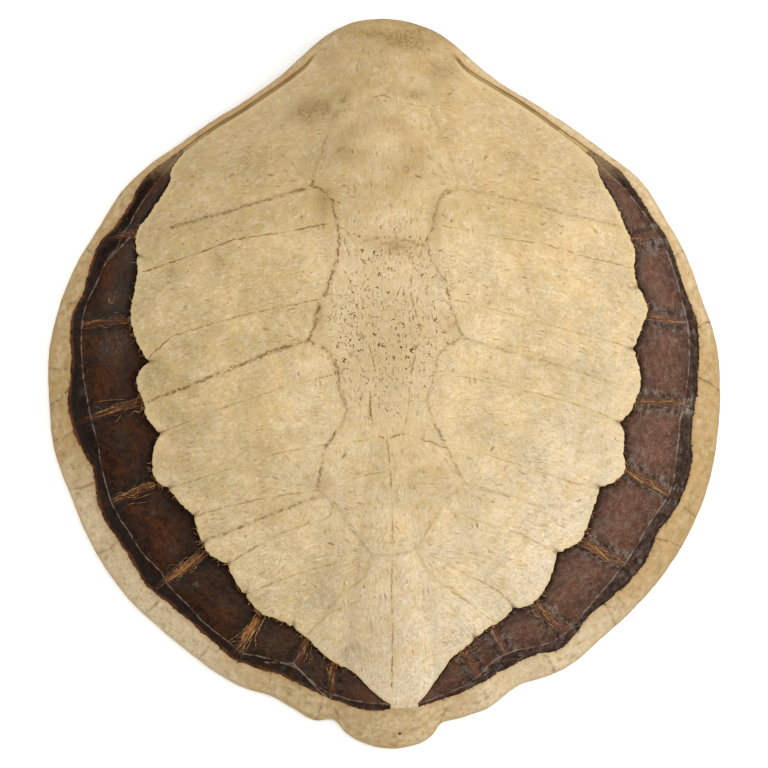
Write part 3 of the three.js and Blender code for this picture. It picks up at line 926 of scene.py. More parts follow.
    def mark_zones(self, xy: Array, bearing: Array, radius: Array) -> None:
        """Stores the disc's lip, the ledge under the skins, the rim and the places round it.

        Args:
            xy: places in millimetres.
            bearing: their bearings.
            radius: their distances from the crown.
        """
        data = self.piece.data
        past_disc = radius - self.plan.disc(bearing)
        past_band = radius - self.plan.band(bearing)
        open_here = self.plan.openness(bearing)
        lip = smooth_step(-6.0, -1.0, past_disc) * (past_disc < 0.3) * open_here
        ledge = smooth_step(-0.2, 0.5, past_disc) * (
            1.0 - smooth_step(-0.3, 0.7, past_band)) * open_here
        tail = smooth_step(-296.0, -306.0, xy[:, 1])
        rim = smooth_step(-0.5, 1.0, past_band) * np.maximum(open_here, tail)
        paint(data, "zone", np.column_stack([lip, ledge, rim]))
        paint(data, "rimwise", np.column_stack([
            np.radians(bearing) * RIM_RADIUS, past_band, self.plan.margin(bearing) - radius]))

    def mark(self) -> None:
        """Stores what the finish needs on the vertices."""
        xy = coordinates(self.piece.data)[:, :2]
        bearing, radius = self.plan.polar(xy)
        self.mark_lines(xy, radius - self.plan.disc(bearing))
        self.mark_grain(xy)
        self.mark_spots(xy, bearing, radius)
        self.mark_zones(xy, bearing, radius)


# --- Skin ---


@dataclass
class SkinStrip:
    """The dried skin on one side, over the rib ends between disc and rim."""

    plan: ShellPlan
    side: Side
    step: float = 1.5
    rows: int = 34
    inner_gap: float = 0.35
    overlap: float = 1.3
    thickness: float = 1.1
    sag: float = 5.2
    rib_rise: float = 2.2
    rib_width: float = 3.4
    fold_rise: float = 0.7
    profile: SmoothCurve = SmoothCurve((
        (0, -3.4), (0.05, -2.0), (0.12, -1.4), (0.3, -0.8), (0.55, -0.5), (0.78, -0.1),
        (0.9, -0.2), (1, -0.5)))
    piece: bpy.types.Object = field(init=False)

    def radii(self, bearing: Array) -> tuple[Array, Array]:
        """Radius of the strip's inner and outer edge."""
        seed = 3.0 if self.side is Side.LEFT else 8.0
        ragged = ripple(bearing, (131, 197, 283, 389), seed) + 1.4 * ripple(
            bearing, (37, 61, 89), seed)
        inner = self.plan.disc(bearing) + self.inner_gap
        return inner, self.plan.band(bearing) + self.overlap + 0.9 * ragged

    def folded(self, bearing: Array) -> Array:
        """1 where the skin has its pale fold, 0 in front of the first rib and at the tip."""
        first = (np.asarray(bearing) - 158.0) % 360.0
        last = (22.0 - np.asarray(bearing)) % 360.0
        return smooth_step(0.0, 4.0, np.minimum(first, last))

    def surface(self, column: Array, share: Array) -> Array:
        """The skin's outer face.

        Args:
            column: bearings at which lines across the strip leave the disc.
            share: shares of the way across, from disc to rim.

        Returns:
            Rows of x, y and z in millimetres.
        """
        plan = self.plan
        bearing = column + plan.lean(column) * share
        inner, outer = self.radii(bearing)
        radius = inner + (outer - inner) * share
        x, y = plan.place(bearing, radius)
        away = plan.from_rib(column, radius)
        start, end = self.side.gap
        past = (column - start) % 360.0
        inside = smooth_step(0.0, 3.0, np.minimum(past, (end - start) - past))
        open_here = np.where(past <= end - start, inside, 0.0)
        low, high = plan.gap_shares
        slack = np.clip((share - low) / (high + 0.03 - low), 0.0, 1.0)
        hollow = np.sin(math.pi * slack) ** 0.75 * open_here
        panel = smooth_step(4.5, 12.0, np.abs(away))
        places = np.column_stack([x, y, np.zeros_like(x)])
        slump = 1.0 + 0.35 * rough(places, 21.0, 4.0)
        rise = self.profile.at(share) - self.sag * hollow * panel * slump
        rib = np.exp(-((away / self.rib_width) ** 2)) * open_here
        rise += rib * self.rib_rise * smooth_step(0.02, 0.15, share) * (1.0 - 0.8 * share)
        off_fold = radius - plan.fold_line.at(bearing)
        rise += self.fold_rise * np.exp(-((off_fold / 1.3) ** 2)) * self.folded(bearing)
        outer_strip = smooth_step(0.5, 3.0, off_fold)
        rise += 0.8 * rough(places, 6.5, 11.0) * (0.3 + 0.7 * outer_strip)
        unrolled = np.column_stack([np.radians(column) * BAND_RADIUS, share * BAND_WIDTH])
        rise += 0.34 * rough(unrolled / (3.2, 11.0), 1.0, 17.0)
        rise += 0.3 * rough(places, 2.6, 13.0) + 0.7 * rib * rough(places, 5.0, 23.0)
        edge = smooth_step(0.93, 1.0, share)
        rise = rise * (1.0 - edge) + edge * (-0.5 + 0.3 * rough(places, 3.0, 31.0))
        places[:, 2] = plan.dome(bearing, radius) + rise
        return places

    def build(self) -> bpy.types.Object:
        """Models the strip.

        Returns:
            The finished piece.
        """
        start, end = self.side.reach
        length = math.radians(end - start) * BAND_RADIUS
        form = bmesh.new()
        bmesh.ops.create_grid(
            form, x_segments=int(length / self.step), y_segments=self.rows, size=0.5)
        flat = np.array([vert.co[:] for vert in form.verts])
        column = start + (end - start) * (flat[:, 0] + 0.5)
        move_all(form, self.surface(column, flat[:, 1] + 0.5))
        bmesh.ops.recalc_face_normals(form, faces=form.faces[:])
        if sum(face.normal.z for face in form.faces) < 0:
            bmesh.ops.reverse_faces(form, faces=form.faces[:])
        bmesh.ops.solidify(form, geom=form.faces[:], thickness=self.thickness * MM)
        bmesh.ops.recalc_face_normals(form, faces=form.faces[:])
        self.piece = finish_mesh(f"skin_strip_{self.side.label}", form)
        self.mark()
        return self.piece

    def mark(self) -> None:
        """Stores what the finish needs: place along and across, and ways to rib and fold."""
        plan, data = self.plan, self.piece.data
        xy = coordinates(data)[:, :2]
        bearing, radius = plan.polar(xy)
        t = plan.across(bearing, radius)
        column = plan.column(bearing, t)
        away = plan.from_rib(column, radius)
        off_fold = radius - plan.fold_line.at(bearing)
        branch = LineNetwork(FOLD_BRANCHES).offsets(xy)[:, 2]
        along = np.radians(column) * BAND_RADIUS
        paint(data, "lay", np.column_stack([along, t * BAND_WIDTH, t]))
        off_edge = plan.band(bearing) - radius
        paint(data, "marks", np.column_stack([away, off_fold, off_edge]))
        patches = np.zeros(len(xy))
        for px, py, size, strength in SKIN_PATCHES:
            ring = ((xy[:, 0] - px) ** 2 + (xy[:, 1] - py) ** 2) / size**2
            patches = np.maximum(patches, strength * np.exp(-ring))
        paint(data, "branch", np.column_stack([branch, self.folded(bearing), patches]))


@dataclass
class FibreTufts:
    """Frayed golden fibres over the ribs of one side, and the bristly edge of its skin."""

    skin: SkinStrip
    per_rib: int = 34
    loose: int = 60
    edge_step: float = 1.1
    edge_radius: float = 310.0
    width: float = 0.25
    seed: int = 5
    ring_place: Pair = (-254.7, 80.9)
    piece: bpy.types.Object = field(init=False)

    def strand(self, spline: bpy.types.Spline, places: Array, width: float) -> None:
        """Lays one fibre along places in millimetres, thinner towards its ends."""
        spline.points.add(len(places) - 1)
        count = len(places) - 1
        for i, (point, place) in enumerate(zip(spline.points, (places * MM).tolist())):
            point.co = (*place, 1.0)
            point.radius = width * (0.25 + 0.75 * math.sin(math.pi * (i + 0.4) / (count + 0.8)))

    def over_ribs(self, curves: bpy.types.Curve, draw: random.Random) -> None:
        """Fibres that lie along the ribs, thick at the disc and frayed towards the rim.

        Args:
            curves: where the fibres go.
            draw: the random numbers.
        """
        for out, frayed in self.skin.side.ribs(self.skin.plan):
            amount = int(self.per_rib * frayed * draw.uniform(0.8, 1.2))
            lean_over = draw.uniform(-0.5, 0.1)
            for _ in range(amount):
                wild = draw.random() < 0.26
                start = 0.02 + 0.5 * draw.random() ** (2.2 - 0.6 * frayed)
                length = draw.uniform(0.1, 0.28 + 0.18 * frayed)
                side = lean_over + draw.gauss(0.0, 0.46 + 0.4 * wild)
                turn = draw.gauss(0.0, 0.25 + 0.7 * wild)
                share = np.linspace(start, min(0.97, start + length), 8)
                bend = np.linspace(0.0, 1.0, 8)
                curl = draw.uniform(0.05, 0.16) + 0.3 * wild
                waves = curl * np.sin(bend * draw.uniform(2.0, 8.0) + draw.uniform(0, 6))
                places = self.skin.surface(out + side + turn * bend + waves, share)
                arch = draw.uniform(0.1, 0.9 + wild) * np.sin(math.pi * bend)
                places[:, 2] += arch + 0.12
                self.strand(curves.splines.new("POLY"), places, draw.uniform(0.6, 1.7))

    def ring(self, curves: bpy.types.Curve, draw: random.Random) -> None:
        """A small curl of fibres that lies on the left skin in front of the second rib.

        Args:
            curves: where the fibres go.
            draw: the random numbers.
        """
        plan = self.skin.plan
        for _ in range(9):
            size, start = draw.uniform(2.4, 4.0), draw.uniform(1.2, 2.6)
            turns = np.linspace(start, start + draw.uniform(3.6, 5.4), 14)
            x = self.ring_place[0] + size * 0.8 * np.cos(turns) + draw.gauss(0, 0.25)
            y = self.ring_place[1] + size * 1.15 * np.sin(turns) + draw.gauss(0, 0.25)
            bearing, radius = plan.polar(np.column_stack([x, y]))
            t = plan.across(bearing, radius)
            places = self.skin.surface(plan.column(bearing, t), t)
            places[:, :2] = np.column_stack([x, y])
            places[:, 2] += draw.uniform(0.4, 1.4)
            self.strand(curves.splines.new("POLY"), places, draw.uniform(0.9, 1.8))

    def at_disc(self, curves: bpy.types.Curve, draw: random.Random) -> None:
        """Short frayed fibres that stick out from under the disc's edge, most at the ribs.

        Args:
            curves: where the fibres go.
            draw: the random numbers.
        """
        plan, side = self.skin.plan, self.skin.side
        start, end = side.gap
        ribs = [out for out, _ in side.ribs(plan)]
        bearings = [draw.uniform(start, end) for _ in range(self.loose)]
        bearings += [draw.gauss(out, 1.5) for out in ribs for _ in range(self.per_rib // 3)]
        for bearing in bearings:
            reach, slant = draw.uniform(1.5, 6.5), draw.gauss(0.0, 0.9)
            share = np.linspace(0.0, 1.0, 5)
            inner = float(plan.disc(bearing))
            turned = bearing + slant * share**1.5
            radius = inner - 0.4 + reach * share
            x, y = plan.place(turned, radius)
            fall = np.minimum(3.2, 0.9 * reach) * share**1.3
            height = plan.dome(turned, radius) + 0.7 - fall
            self.strand(curves.splines.new("POLY"), np.column_stack([x, y, height]),
                        draw.uniform(0.6, 1.5))

    def along_edge(self, curves: bpy.types.Curve, draw: random.Random) -> None:
        """Short bristles along the skin's outer edge, lying on the rim in tufts.

        Args:
            curves: where the fibres go.
            draw: the random numbers.
        """
        plan, side = self.skin.plan, self.skin.side
        start, end = side.reach
        count = int(math.radians(end - start) * self.edge_radius / self.edge_step)
        for i in range(count):
            bearing = start + (end - start) * (i + draw.random()) / count
            tuft = 0.5 + 0.5 * math.sin(bearing * 2.3 + 2.0 * math.sin(bearing * 0.9))
            if draw.random() > 0.15 + 0.75 * tuft:
                continue
            outer = float(self.skin.radii(np.array(bearing))[1])
            reach = draw.uniform(0.2, 0.9 + 1.7 * tuft * draw.random())
            slant = draw.gauss(0.0, 0.4)
            share = np.linspace(0.0, 1.0, 4)
            radius = outer - 1.8 + (reach + 1.6) * share
            turned = bearing + slant * share
            x, y = plan.place(turned, radius)
            height = plan.dome(turned, radius) - 0.3 + 0.9 * share
            self.strand(curves.splines.new("POLY"), np.column_stack([x, y, height]),
                        draw.uniform(0.6, 1.5))

    def build(self) -> bpy.types.Object:
        """Models the fibres.

        Returns:
            The finished piece.
        """
        name = f"fibres_{self.skin.side.label}"
        curves = bpy.data.curves.new(name, "CURVE")
        curves.dimensions = "3D"
        curves.bevel_depth = self.width * MM
        curves.bevel_resolution = 0
        curves.use_fill_caps = True
        draw = random.Random(self.seed if self.skin.side is Side.LEFT else self.seed + 1)
        self.over_ribs(curves, draw)
        if self.skin.side is Side.LEFT:
            self.ring(curves, draw)
        self.at_disc(curves, draw)
        self.along_edge(curves, draw)
        laid = bpy.data.objects.new(name, curves)
        bpy.context.scene.collection.objects.link(laid)
        graph = bpy.context.evaluated_depsgraph_get()
        data = bpy.data.meshes.new_from_object(laid.evaluated_get(graph))
        bpy.data.objects.remove(laid)
        bpy.data.curves.remove(curves)
        form = bmesh.new()
        form.from_mesh(data)
        bpy.data.meshes.remove(data)
        bmesh.ops.remove_doubles(form, verts=form.verts[:], dist=1e-7)
        bmesh.ops.recalc_face_normals(form, faces=form.faces[:])
        self.piece = finish_mesh(name, form)
        bearing, radius = self.skin.plan.polar(coordinates(self.piece.data)[:, :2])
        t = self.skin.plan.across(bearing, radius)
        along = np.radians(bearing) * BAND_RADIUS
        paint(self.piece.data, "lay", np.column_stack([along, t * BAND_WIDTH, t]))
        return self.piece


# --- Finishes ---


class Value:
    """A number that changes over a surface, with the arithmetic that builds Math nodes."""

    def __init__(self, sheet: "NodeSheet", socket: bpy.types.NodeSocket) -> None:
        """Wraps an output socket of a sheet."""
        self.sheet = sheet
        self.socket = socket

    def _math(self, operation: str, *others: "Value | float", clamp: bool = False) -> "Value":
        """A Math node that starts with this value."""
        inputs = dict(enumerate((self, *others)))
        settings = {"operation": operation, "use_clamp": clamp}
        return self.sheet.value("ShaderNodeMath", settings, inputs)

    def _math_from(self, operation: str, first: float) -> "Value":
        """A Math node with a plain number before this value."""
        return self.sheet.value("ShaderNodeMath", {"operation": operation}, {0: first, 1: self})

    def __add__(self, other: "Value | float") -> "Value":
        """Sum."""
        return self._math("ADD", other)

    __radd__ = __add__

    def __sub__(self, other: "Value | float") -> "Value":
        """Difference."""
        return self._math("SUBTRACT", other)

    def __rsub__(self, other: float) -> "Value":
        """Difference from a plain number."""
        return self._math_from("SUBTRACT", other)

    def __mul__(self, other: "Value | float") -> "Value":
        """Product."""
        return self._math("MULTIPLY", other)

    __rmul__ = __mul__

    def __truediv__(self, other: "Value | float") -> "Value":
        """Quotient."""
        return self._math("DIVIDE", other)

    def __rtruediv__(self, other: float) -> "Value":
        """A plain number shared out."""
        return self._math_from("DIVIDE", other)

    def __pow__(self, other: "Value | float") -> "Value":
        """Power."""
        return self._math("POWER", other)

    def __abs__(self) -> "Value":
        """Size without sign."""
        return self._math("ABSOLUTE")

    def clamp(self) -> "Value":
        """Held between 0 and 1."""
        return self._math("ADD", 0.0, clamp=True)

    def most(self, other: "Value | float") -> "Value":
        """The larger of two."""
        return self._math("MAXIMUM", other)

    def step(self, low: float, high: float) -> "Value":
        """A soft step from 0 at low to 1 at high, which may lie below low."""
        return self.sheet.value(
            "ShaderNodeMapRange", {"interpolation_type": "SMOOTHSTEP"},
            {"Value": self, "From Min": low, "From Max": high})

    def sink(self, low: float, high: float) -> "Value":
        """A soft step from 1 at low to 0 at high, which lies above low."""
        return 1.0 - self.step(low, high)


class NodeSheet:
    """The node tree of one material."""

    def __init__(self, name: str) -> None:
        """Makes an empty material with its shader and output."""
        self.material = bpy.data.materials.new(name)
        self.material.use_nodes = True
        self.tree = self.material.node_tree
        self.tree.nodes.clear()
        self.shader = self.node("ShaderNodeBsdfPrincipled")
        output = self.node("ShaderNodeOutputMaterial")
        self.tree.links.new(self.shader.outputs[0], output.inputs[0])

    def node(self, kind: str, settings: dict[str, Any] | None = None,
             inputs: dict[str | int, Any] | None = None) -> bpy.types.Node:
        """Adds a node.

        Args:
            kind: the node's type.
            settings: its properties, set first.
            inputs: a number, colour or link for each named or numbered socket.

        Returns:
            The node.
        """
        made = self.tree.nodes.new(kind)
        for name, setting in (settings or {}).items():
            setattr(made, name, setting)
        for key, wanted in (inputs or {}).items():
            socket = made.inputs[key]
            if isinstance(wanted, Value):
                self.tree.links.new(wanted.socket, socket)
            elif isinstance(wanted, bpy.types.NodeSocket):
                self.tree.links.new(wanted, socket)
            else:
                socket.default_value = wanted
        return made

    def value(self, kind: str, settings: dict[str, Any] | None = None,
              inputs: dict[str | int, Any] | None = None, output: str | int = 0) -> Value:
        """A node's output as a value."""
        return Value(self, self.node(kind, settings, inputs).outputs[output])

    def parts(self, vector: bpy.types.NodeSocket) -> tuple[Value, Value, Value]:
        """The three numbers of a vector."""
        node = self.node("ShaderNodeSeparateXYZ", None, {0: vector})
        return tuple(Value(self, socket) for socket in node.outputs)

    def join(self, *numbers: Value | float) -> bpy.types.NodeSocket:
        """A vector of up to three numbers."""
        return self.node("ShaderNodeCombineXYZ", None, dict(enumerate(numbers))).outputs[0]

    def marked(self, name: str) -> bpy.types.NodeSocket:
        """The vector stored on the mesh under a name."""
        settings = {"attribute_name": name, "attribute_type": "GEOMETRY"}
        return self.node("ShaderNodeAttribute", settings).outputs["Vector"]

    def place(self) -> bpy.types.NodeSocket:
        """Object coordinates in millimetres."""
        metres = self.node("ShaderNodeTexCoord").outputs["Object"]
        return self.node("ShaderNodeVectorMath", {"operation": "SCALE"},
                         {0: metres, "Scale": 1.0 / MM}).outputs[0]

    def scaled(self, vector: bpy.types.NodeSocket, *sizes: float) -> bpy.types.NodeSocket:
        """A vector divided by a size along each axis."""
        factors = tuple(1.0 / size for size in sizes)
        return self.node("ShaderNodeVectorMath", {"operation": "MULTIPLY"},
                         {0: vector, 1: factors}).outputs[0]

    def shifted(self, vector: bpy.types.NodeSocket, by: bpy.types.NodeSocket | Sequence[float],
                amount: float = 1.0) -> bpy.types.NodeSocket:
        """A vector moved by an amount of another."""
        return self.node("ShaderNodeVectorMath", {"operation": "MULTIPLY_ADD"},
                         {0: by, 1: (amount,) * 3, 2: vector}).outputs[0]

    def clouds(self, vector: bpy.types.NodeSocket, size: float, detail: float = 3.0,
               roughness: float = 0.55) -> Value:
        """Soft noise from 0 to 1, with blotches of a size in the vector's unit."""
        return self.value("ShaderNodeTexNoise", {"noise_dimensions": "3D"}, {
            "Vector": vector, "Scale": 1.0 / size, "Detail": detail, "Roughness": roughness})

    def scatter(self, vector: bpy.types.NodeSocket, size: float) -> bpy.types.NodeSocket:
        """Three noises from 0 to 1 as a vector, for warping another."""
        return self.node("ShaderNodeTexNoise", None, {
            "Vector": vector, "Scale": 1.0 / size, "Detail": 2.0}).outputs["Color"]

    def specks(self, vector: bpy.types.NodeSocket, share: Value | float, inner: float,
               outer: float) -> Value:
        """Separate spots, one in some of the cells of one unit.

        Args:
            vector: coordinates in cells.
            share: share of the cells that hold a spot.
            inner: radius of the full spot in cells.
            outer: radius at which it has faded.

        Returns:
            1 on a spot and 0 off it.
        """
        cells = self.node("ShaderNodeTexVoronoi", {"feature": "F1"},
                          {"Vector": vector, "Scale": 1.0})
        chance, strength, _ = self.parts(cells.outputs["Color"])
        held = self.value("ShaderNodeMath", {"operation": "LESS_THAN"}, {0: chance, 1: share})
        near = Value(self, cells.outputs["Distance"]).sink(inner, outer)
        return held * near * (0.3 + strength * 0.7)

    def mix(self, factor: Value | float, first: Any, second: Any) -> bpy.types.NodeSocket:
        """A colour between two colours."""
        shades = [(*c, 1.0) if isinstance(c, tuple) else c for c in (first, second)]
        return self.node("ShaderNodeMix", {"data_type": "RGBA"},
                         {0: factor, 6: shades[0], 7: shades[1]}).outputs[2]

    def shade(self, colour: bpy.types.NodeSocket, factor: Value) -> bpy.types.NodeSocket:
        """A colour made lighter or darker by a factor."""
        return self.node("ShaderNodeVectorMath", {"operation": "SCALE"},
                         {0: colour, "Scale": factor}).outputs[0]

    def set_numbers(self, numbers: dict[str, Any]) -> None:
        """Sets plain numbers and colours on the shader's own sockets."""
        for name, number in numbers.items():
            self.shader.inputs[name].default_value = number

    def apply(self, colour: Any, roughness: Value | float, height: Value | None = None,
              relief: float = 0.0) -> None:
        """Feeds the shader.

        Args:
            colour: the base colour.
            roughness: from 0 to 1.
            height: fine relief in millimetres, or None.
            relief: how strongly it shows, from 0 to 1.
        """
        self.tree.links.new(colour, self.shader.inputs["Base Color"])
        if isinstance(roughness, Value):
            self.tree.links.new(roughness.socket, self.shader.inputs["Roughness"])
        else:
            self.set_numbers({"Roughness": roughness})
        if height is not None:
            bump = self.node("ShaderNodeBump", None,
                             {"Height": height, "Distance": MM, "Strength": relief})
            self.tree.links.new(bump.outputs[0], self.shader.inputs["Normal"])


class Coats:
    """A base colour that is built up coat by coat."""

    def __init__(self, sheet: NodeSheet, first: Any) -> None:
        """Starts with the lowest coat."""
        self.sheet = sheet
        self.colour = first

    def lay(self, share: Value | float, colour: Any) -> None:
        """Lays a share of a colour over the coats below."""
        self.colour = self.sheet.mix(share, self.colour, colour)

    def shade(self, factor: Value) -> None:
        """Makes the coats below lighter or darker by a factor."""
        self.colour = self.sheet.shade(self.colour, factor)


class BoneMaps:
    """The marks stored on the bone, and the noises that several coats of its finish read."""

    heart_place: Pair = (6.0, 62.0)
    heart_spread: Pair = (3400.0, 8000.0)
    hole_place: Pair = (14.9, -330.9)

    def __init__(self, sheet: NodeSheet) -> None:
        """Reads the marks and makes the noises, the broadest first."""
        self.sheet = sheet
        self.place = place = sheet.place()
        self.x, self.y, _ = sheet.parts(place)
        self.along, self.ahead, self.middle = sheet.parts(sheet.marked("grain"))
        self.lip, self.ledge, self.rim = sheet.parts(sheet.marked("zone"))
        self.spot, self.nick, self.under = sheet.parts(sheet.marked("spots"))
        self.seam_ink, self.sulcus_ink, self.outwards = sheet.parts(sheet.marked("inks"))
        round_rim, self.past_band, self.to_margin = sheet.parts(sheet.marked("rimwise"))
        self.wave = sheet.scatter(place, 5.0)
        self.seam = self.line("suture", 3.0)
        self.sulcus = self.line("sulcus", 5.0)
        self.big = sheet.clouds(place, 90.0, 2.0)
        self.busy = sheet.clouds(place, 40.0, 2.0).step(0.38, 0.66)
        self.blotch = sheet.clouds(place, 26.0, 4.0, 0.62)
        self.cloudy = sheet.clouds(place, 17.0, 3.0, 0.6)
        self.broken = sheet.clouds(place, 13.0, 2.0).step(0.36, 0.6)
        self.mottle = sheet.clouds(place, 8.0, 4.0, 0.66)
        self.small = sheet.clouds(place, 2.7, 3.0, 0.65)
        self.heart = self.spread_from(self.heart_place, self.heart_spread).sink(0.25, 1.9)
        self.hole = self.spread_from(self.hole_place, (1.0, 1.0)) ** 0.5
        self.ray = sheet.join(round_rim, self.past_band, 0.0)
        self.spokes = sheet.clouds(sheet.scaled(self.ray, 5.0, 11.0, 1.0), 1.0, 3.0, 0.65)
        self.lay_grain()

    def spread_from(self, centre: Pair, spread: Pair) -> Value:
        """The squared way from a place on the plan, divided by a spread along x and y."""
        return ((self.x - centre[0]) ** 2.0 / spread[0]
                + (self.y - centre[1]) ** 2.0 / spread[1])

    def line(self, name: str, wobble: float) -> Value:
        """Distance in millimetres to the nearest marked line, with a natural wobble."""
        x, y, near = self.sheet.parts(self.sheet.marked(name))
        wave_x, wave_y, _ = self.sheet.parts(self.wave)
        across = x + (wave_x - 0.5) * wobble
        along = y + (wave_y - 0.5) * wobble
        return ((across * across + along * along) ** 0.5).most(near - 4.0)

    def lay_grain(self) -> None:
        """Runs the bone's fibres outwards on the costal plates, lengthwise in the middle and
        fanwise from some corners.
        """
        sheet = self.sheet
        sway = sheet.scatter(self.place, 40.0)
        flank, keel = (
            sheet.shifted(sheet.shifted(sheet.join(*run, 0.0), sway, 20.0), self.wave, 1.8)
            for run in ((self.along, self.ahead), (self.y, self.x)))
        self.straight = sheet.node("ShaderNodeMix", {"data_type": "VECTOR"},
                                   {0: self.middle.step(0.35, 0.65), 4: flank, 5: keel}).outputs[1]
        fan_x, fan_y, fan = sheet.parts(sheet.marked("fan"))
        turn = sheet.value("ShaderNodeMath", {"operation": "ARCTAN2"}, {0: fan_y, 1: fan_x})
        reach = (fan_x * fan_x + fan_y * fan_y) ** 0.5
        self.fan = fan * reach.step(3.0, 12.0)
        self.spoke = sheet.join(reach, turn * 26.0, 0.0)
        hairs = [sheet.clouds(sheet.scaled(grain, 9.0, 1.3, 1.0), 1.0, 3.0, 0.62)
                 for grain in (self.straight, self.spoke)]
        self.streaks = hairs[0] + (hairs[1] - hairs[0]) * self.fan


@dataclass(frozen=True)
class BoneFinish:
    """Dry, weathered bone: cream and khaki, with pores, streaks, sutures and stains."""

    khaki: Colour = (0.51, 0.375, 0.165)
    cream: Colour = (0.62, 0.47, 0.245)
    pale: Colour = (0.69, 0.57, 0.39)
    chalk: Colour = (0.79, 0.71, 0.56)
    ash: Colour = (0.6, 0.475, 0.3)
    rosy: Colour = (0.6, 0.41, 0.205)
    tan: Colour = (0.47, 0.3, 0.125)
    lip: Colour = (0.68, 0.53, 0.26)
    rim: Colour = (0.49, 0.335, 0.145)
    rear_rim: Colour = (0.66, 0.52, 0.32)
    stain: Colour = (0.29, 0.185, 0.06)
    groove: Colour = (0.22, 0.115, 0.032)
    olive_shade: Colour = (0.36, 0.26, 0.105)
    crack: Colour = (0.11, 0.05, 0.018)
    pore: Colour = (0.155, 0.06, 0.017)
    rust: Colour = (0.42, 0.22, 0.07)
    below: Colour = (0.46, 0.335, 0.17)
    specular: float = 0.18
    relief: float = 0.6

    def dashes(self, on: BoneMaps, grain: bpy.types.NodeSocket, along: float, across: float,
               share: Value | float) -> Value:
        """Small dark pores drawn out along the grain."""
        return on.sheet.specks(on.sheet.scaled(grain, along, across, 1.0), share, 0.1, 0.38)

    def plates(self, on: BoneMaps) -> Coats:
        """The broad colours of the disc: khaki at the left, pale at the right and the rear, the
        pale side partly painted light, with a painted shade at the right middle.

        Args:
            on: the bone's maps.

        Returns:
            The disc's colour.
        """
        x, y, blotch, mottle = on.x, on.y, on.blotch, on.mottle
        coats = Coats(on.sheet, on.sheet.mix(on.big.step(0.36, 0.64), self.khaki, self.cream))
        # Paler towards the right and chalky towards the rear right: partly the bone's own tone,
        # partly painted light from the side the lamps light most.
        to_right = (x / 600.0 - y / 800.0 + 0.3 + (on.big - 0.5) * 0.9).clamp()
        coats.lay(to_right * 0.8, self.pale)
        paler_rear_right = (x / 400.0 - y / 380.0 - 0.36).clamp()
        coats.lay(paler_rear_right * 0.9, self.chalk)
        frontal = y.step(20.0, 280.0)
        coats.lay((blotch.step(0.42, 0.66) * 0.4 + frontal * 0.3).clamp(), self.rosy)
        coats.lay(mottle.step(0.48, 0.68) * 0.46, self.pale)
        coats.lay(mottle.sink(0.34, 0.5) * 0.5, self.khaki)
        coats.shade(1.03 - on.busy * 0.1)
        coats.shade(0.92 + blotch.step(0.34, 0.66) * 0.15)
        coats.lay(on.cloudy.step(0.5, 0.68) * (0.22 + on.middle * 0.2), self.ash)
        coats.lay(on.cloudy.sink(0.34, 0.48) * 0.22, self.rosy)
        coats.lay(on.heart * 0.35, self.ash)
        # Painted shade: the right middle of the disc is made darker, where the key light falls
        # strongest.
        coats.shade(1.0 - x.step(80.0, 210.0) * y.step(130.0, 50.0) * 0.07)
        return coats

    def weather(self, on: BoneMaps, coats: Coats) -> None:
        """Lays pale streaks along the grain, a browner tone towards the front and along the
        middle, and grime in the stains.

        Args:
            on: the bone's maps.
            coats: the colour to lay them on.
        """
        rear = on.y.step(-70.0, -170.0)
        coats.shade(0.91 + on.streaks.step(0.3, 0.7) * (0.15 + rear * 0.08))
        coats.lay(on.streaks.step(0.52, 0.7) * on.mottle.step(0.45, 0.6) * (0.22 + rear * 0.25),
                  self.chalk)
        coats.shade(0.9 + on.small.step(0.3, 0.7) * 0.2)
        browned = (on.spot * (0.45 + on.mottle.step(0.36, 0.6))).clamp()
        # Browner towards the front and along the middle of the disc.
        darker_front = on.y.step(60.0, 250.0) * 0.32 + on.middle * 0.14
        browned = (browned + darker_front * on.blotch.step(0.4, 0.62)).clamp()
        coats.lay(browned * (0.5 + on.small.step(0.35, 0.6) * 0.5), self.stain)

    def pores(self, on: BoneMaps, coats: Coats) -> Value:
        """Lays scratches and hairlines along the grain, and pits and tracks in the middle.

        Args:
            on: the bone's maps.
            coats: the colour to lay them on.

        Returns:
            1 in the deep ones, to sink them.
        """
        sheet, place, heart, busy = on.sheet, on.place, on.heart, on.busy
        many = 0.2 + busy * 0.25 + heart * 0.3
        few = (0.16 + busy * 0.4) * (1.0 - on.fan * 0.8)
        share = few + (many - few) * on.middle
        scratches = self.dashes(on, on.straight, 17.0, 2.4, share)
        scratches = scratches.most(self.dashes(on, on.spoke, 13.0, 3.0, on.fan * 0.5))
        coats.lay(scratches * (0.4 + on.broken * 0.35), self.pore)
        hairline = on.streaks.sink(0.31, 0.42) * (0.12 + busy * 0.3 + on.fan * 0.25)
        coats.lay(hairline.clamp(), self.stain)
        crooked = sheet.shifted(on.straight, sheet.scatter(place, 2.6), 2.4)
        crowd = sheet.clouds(place, 22.0, 1.0).step(0.44, 0.6)
        pits = self.dashes(on, crooked, 8.0, 2.1, share * (0.2 + heart * (0.35 + crowd * 0.7)))
        tracks = abs(sheet.clouds(place, 8.5, 1.5) - 0.5).sink(0.005, 0.026)
        tracks = tracks * sheet.clouds(place, 6.0, 1.0).step(0.565, 0.61) * (0.08 + heart)
        gouges = sheet.specks(sheet.scaled(crooked, 12.0, 3.4, 1.0), heart * busy * 0.25,
                              0.12, 0.32)
        pits = pits.most(tracks).most(gouges * (0.7 + on.small))
        coats.lay((pits * (0.45 + heart * 0.9 + on.broken * 0.15)).clamp(), self.pore)
        return pits.most(scratches * 0.5)

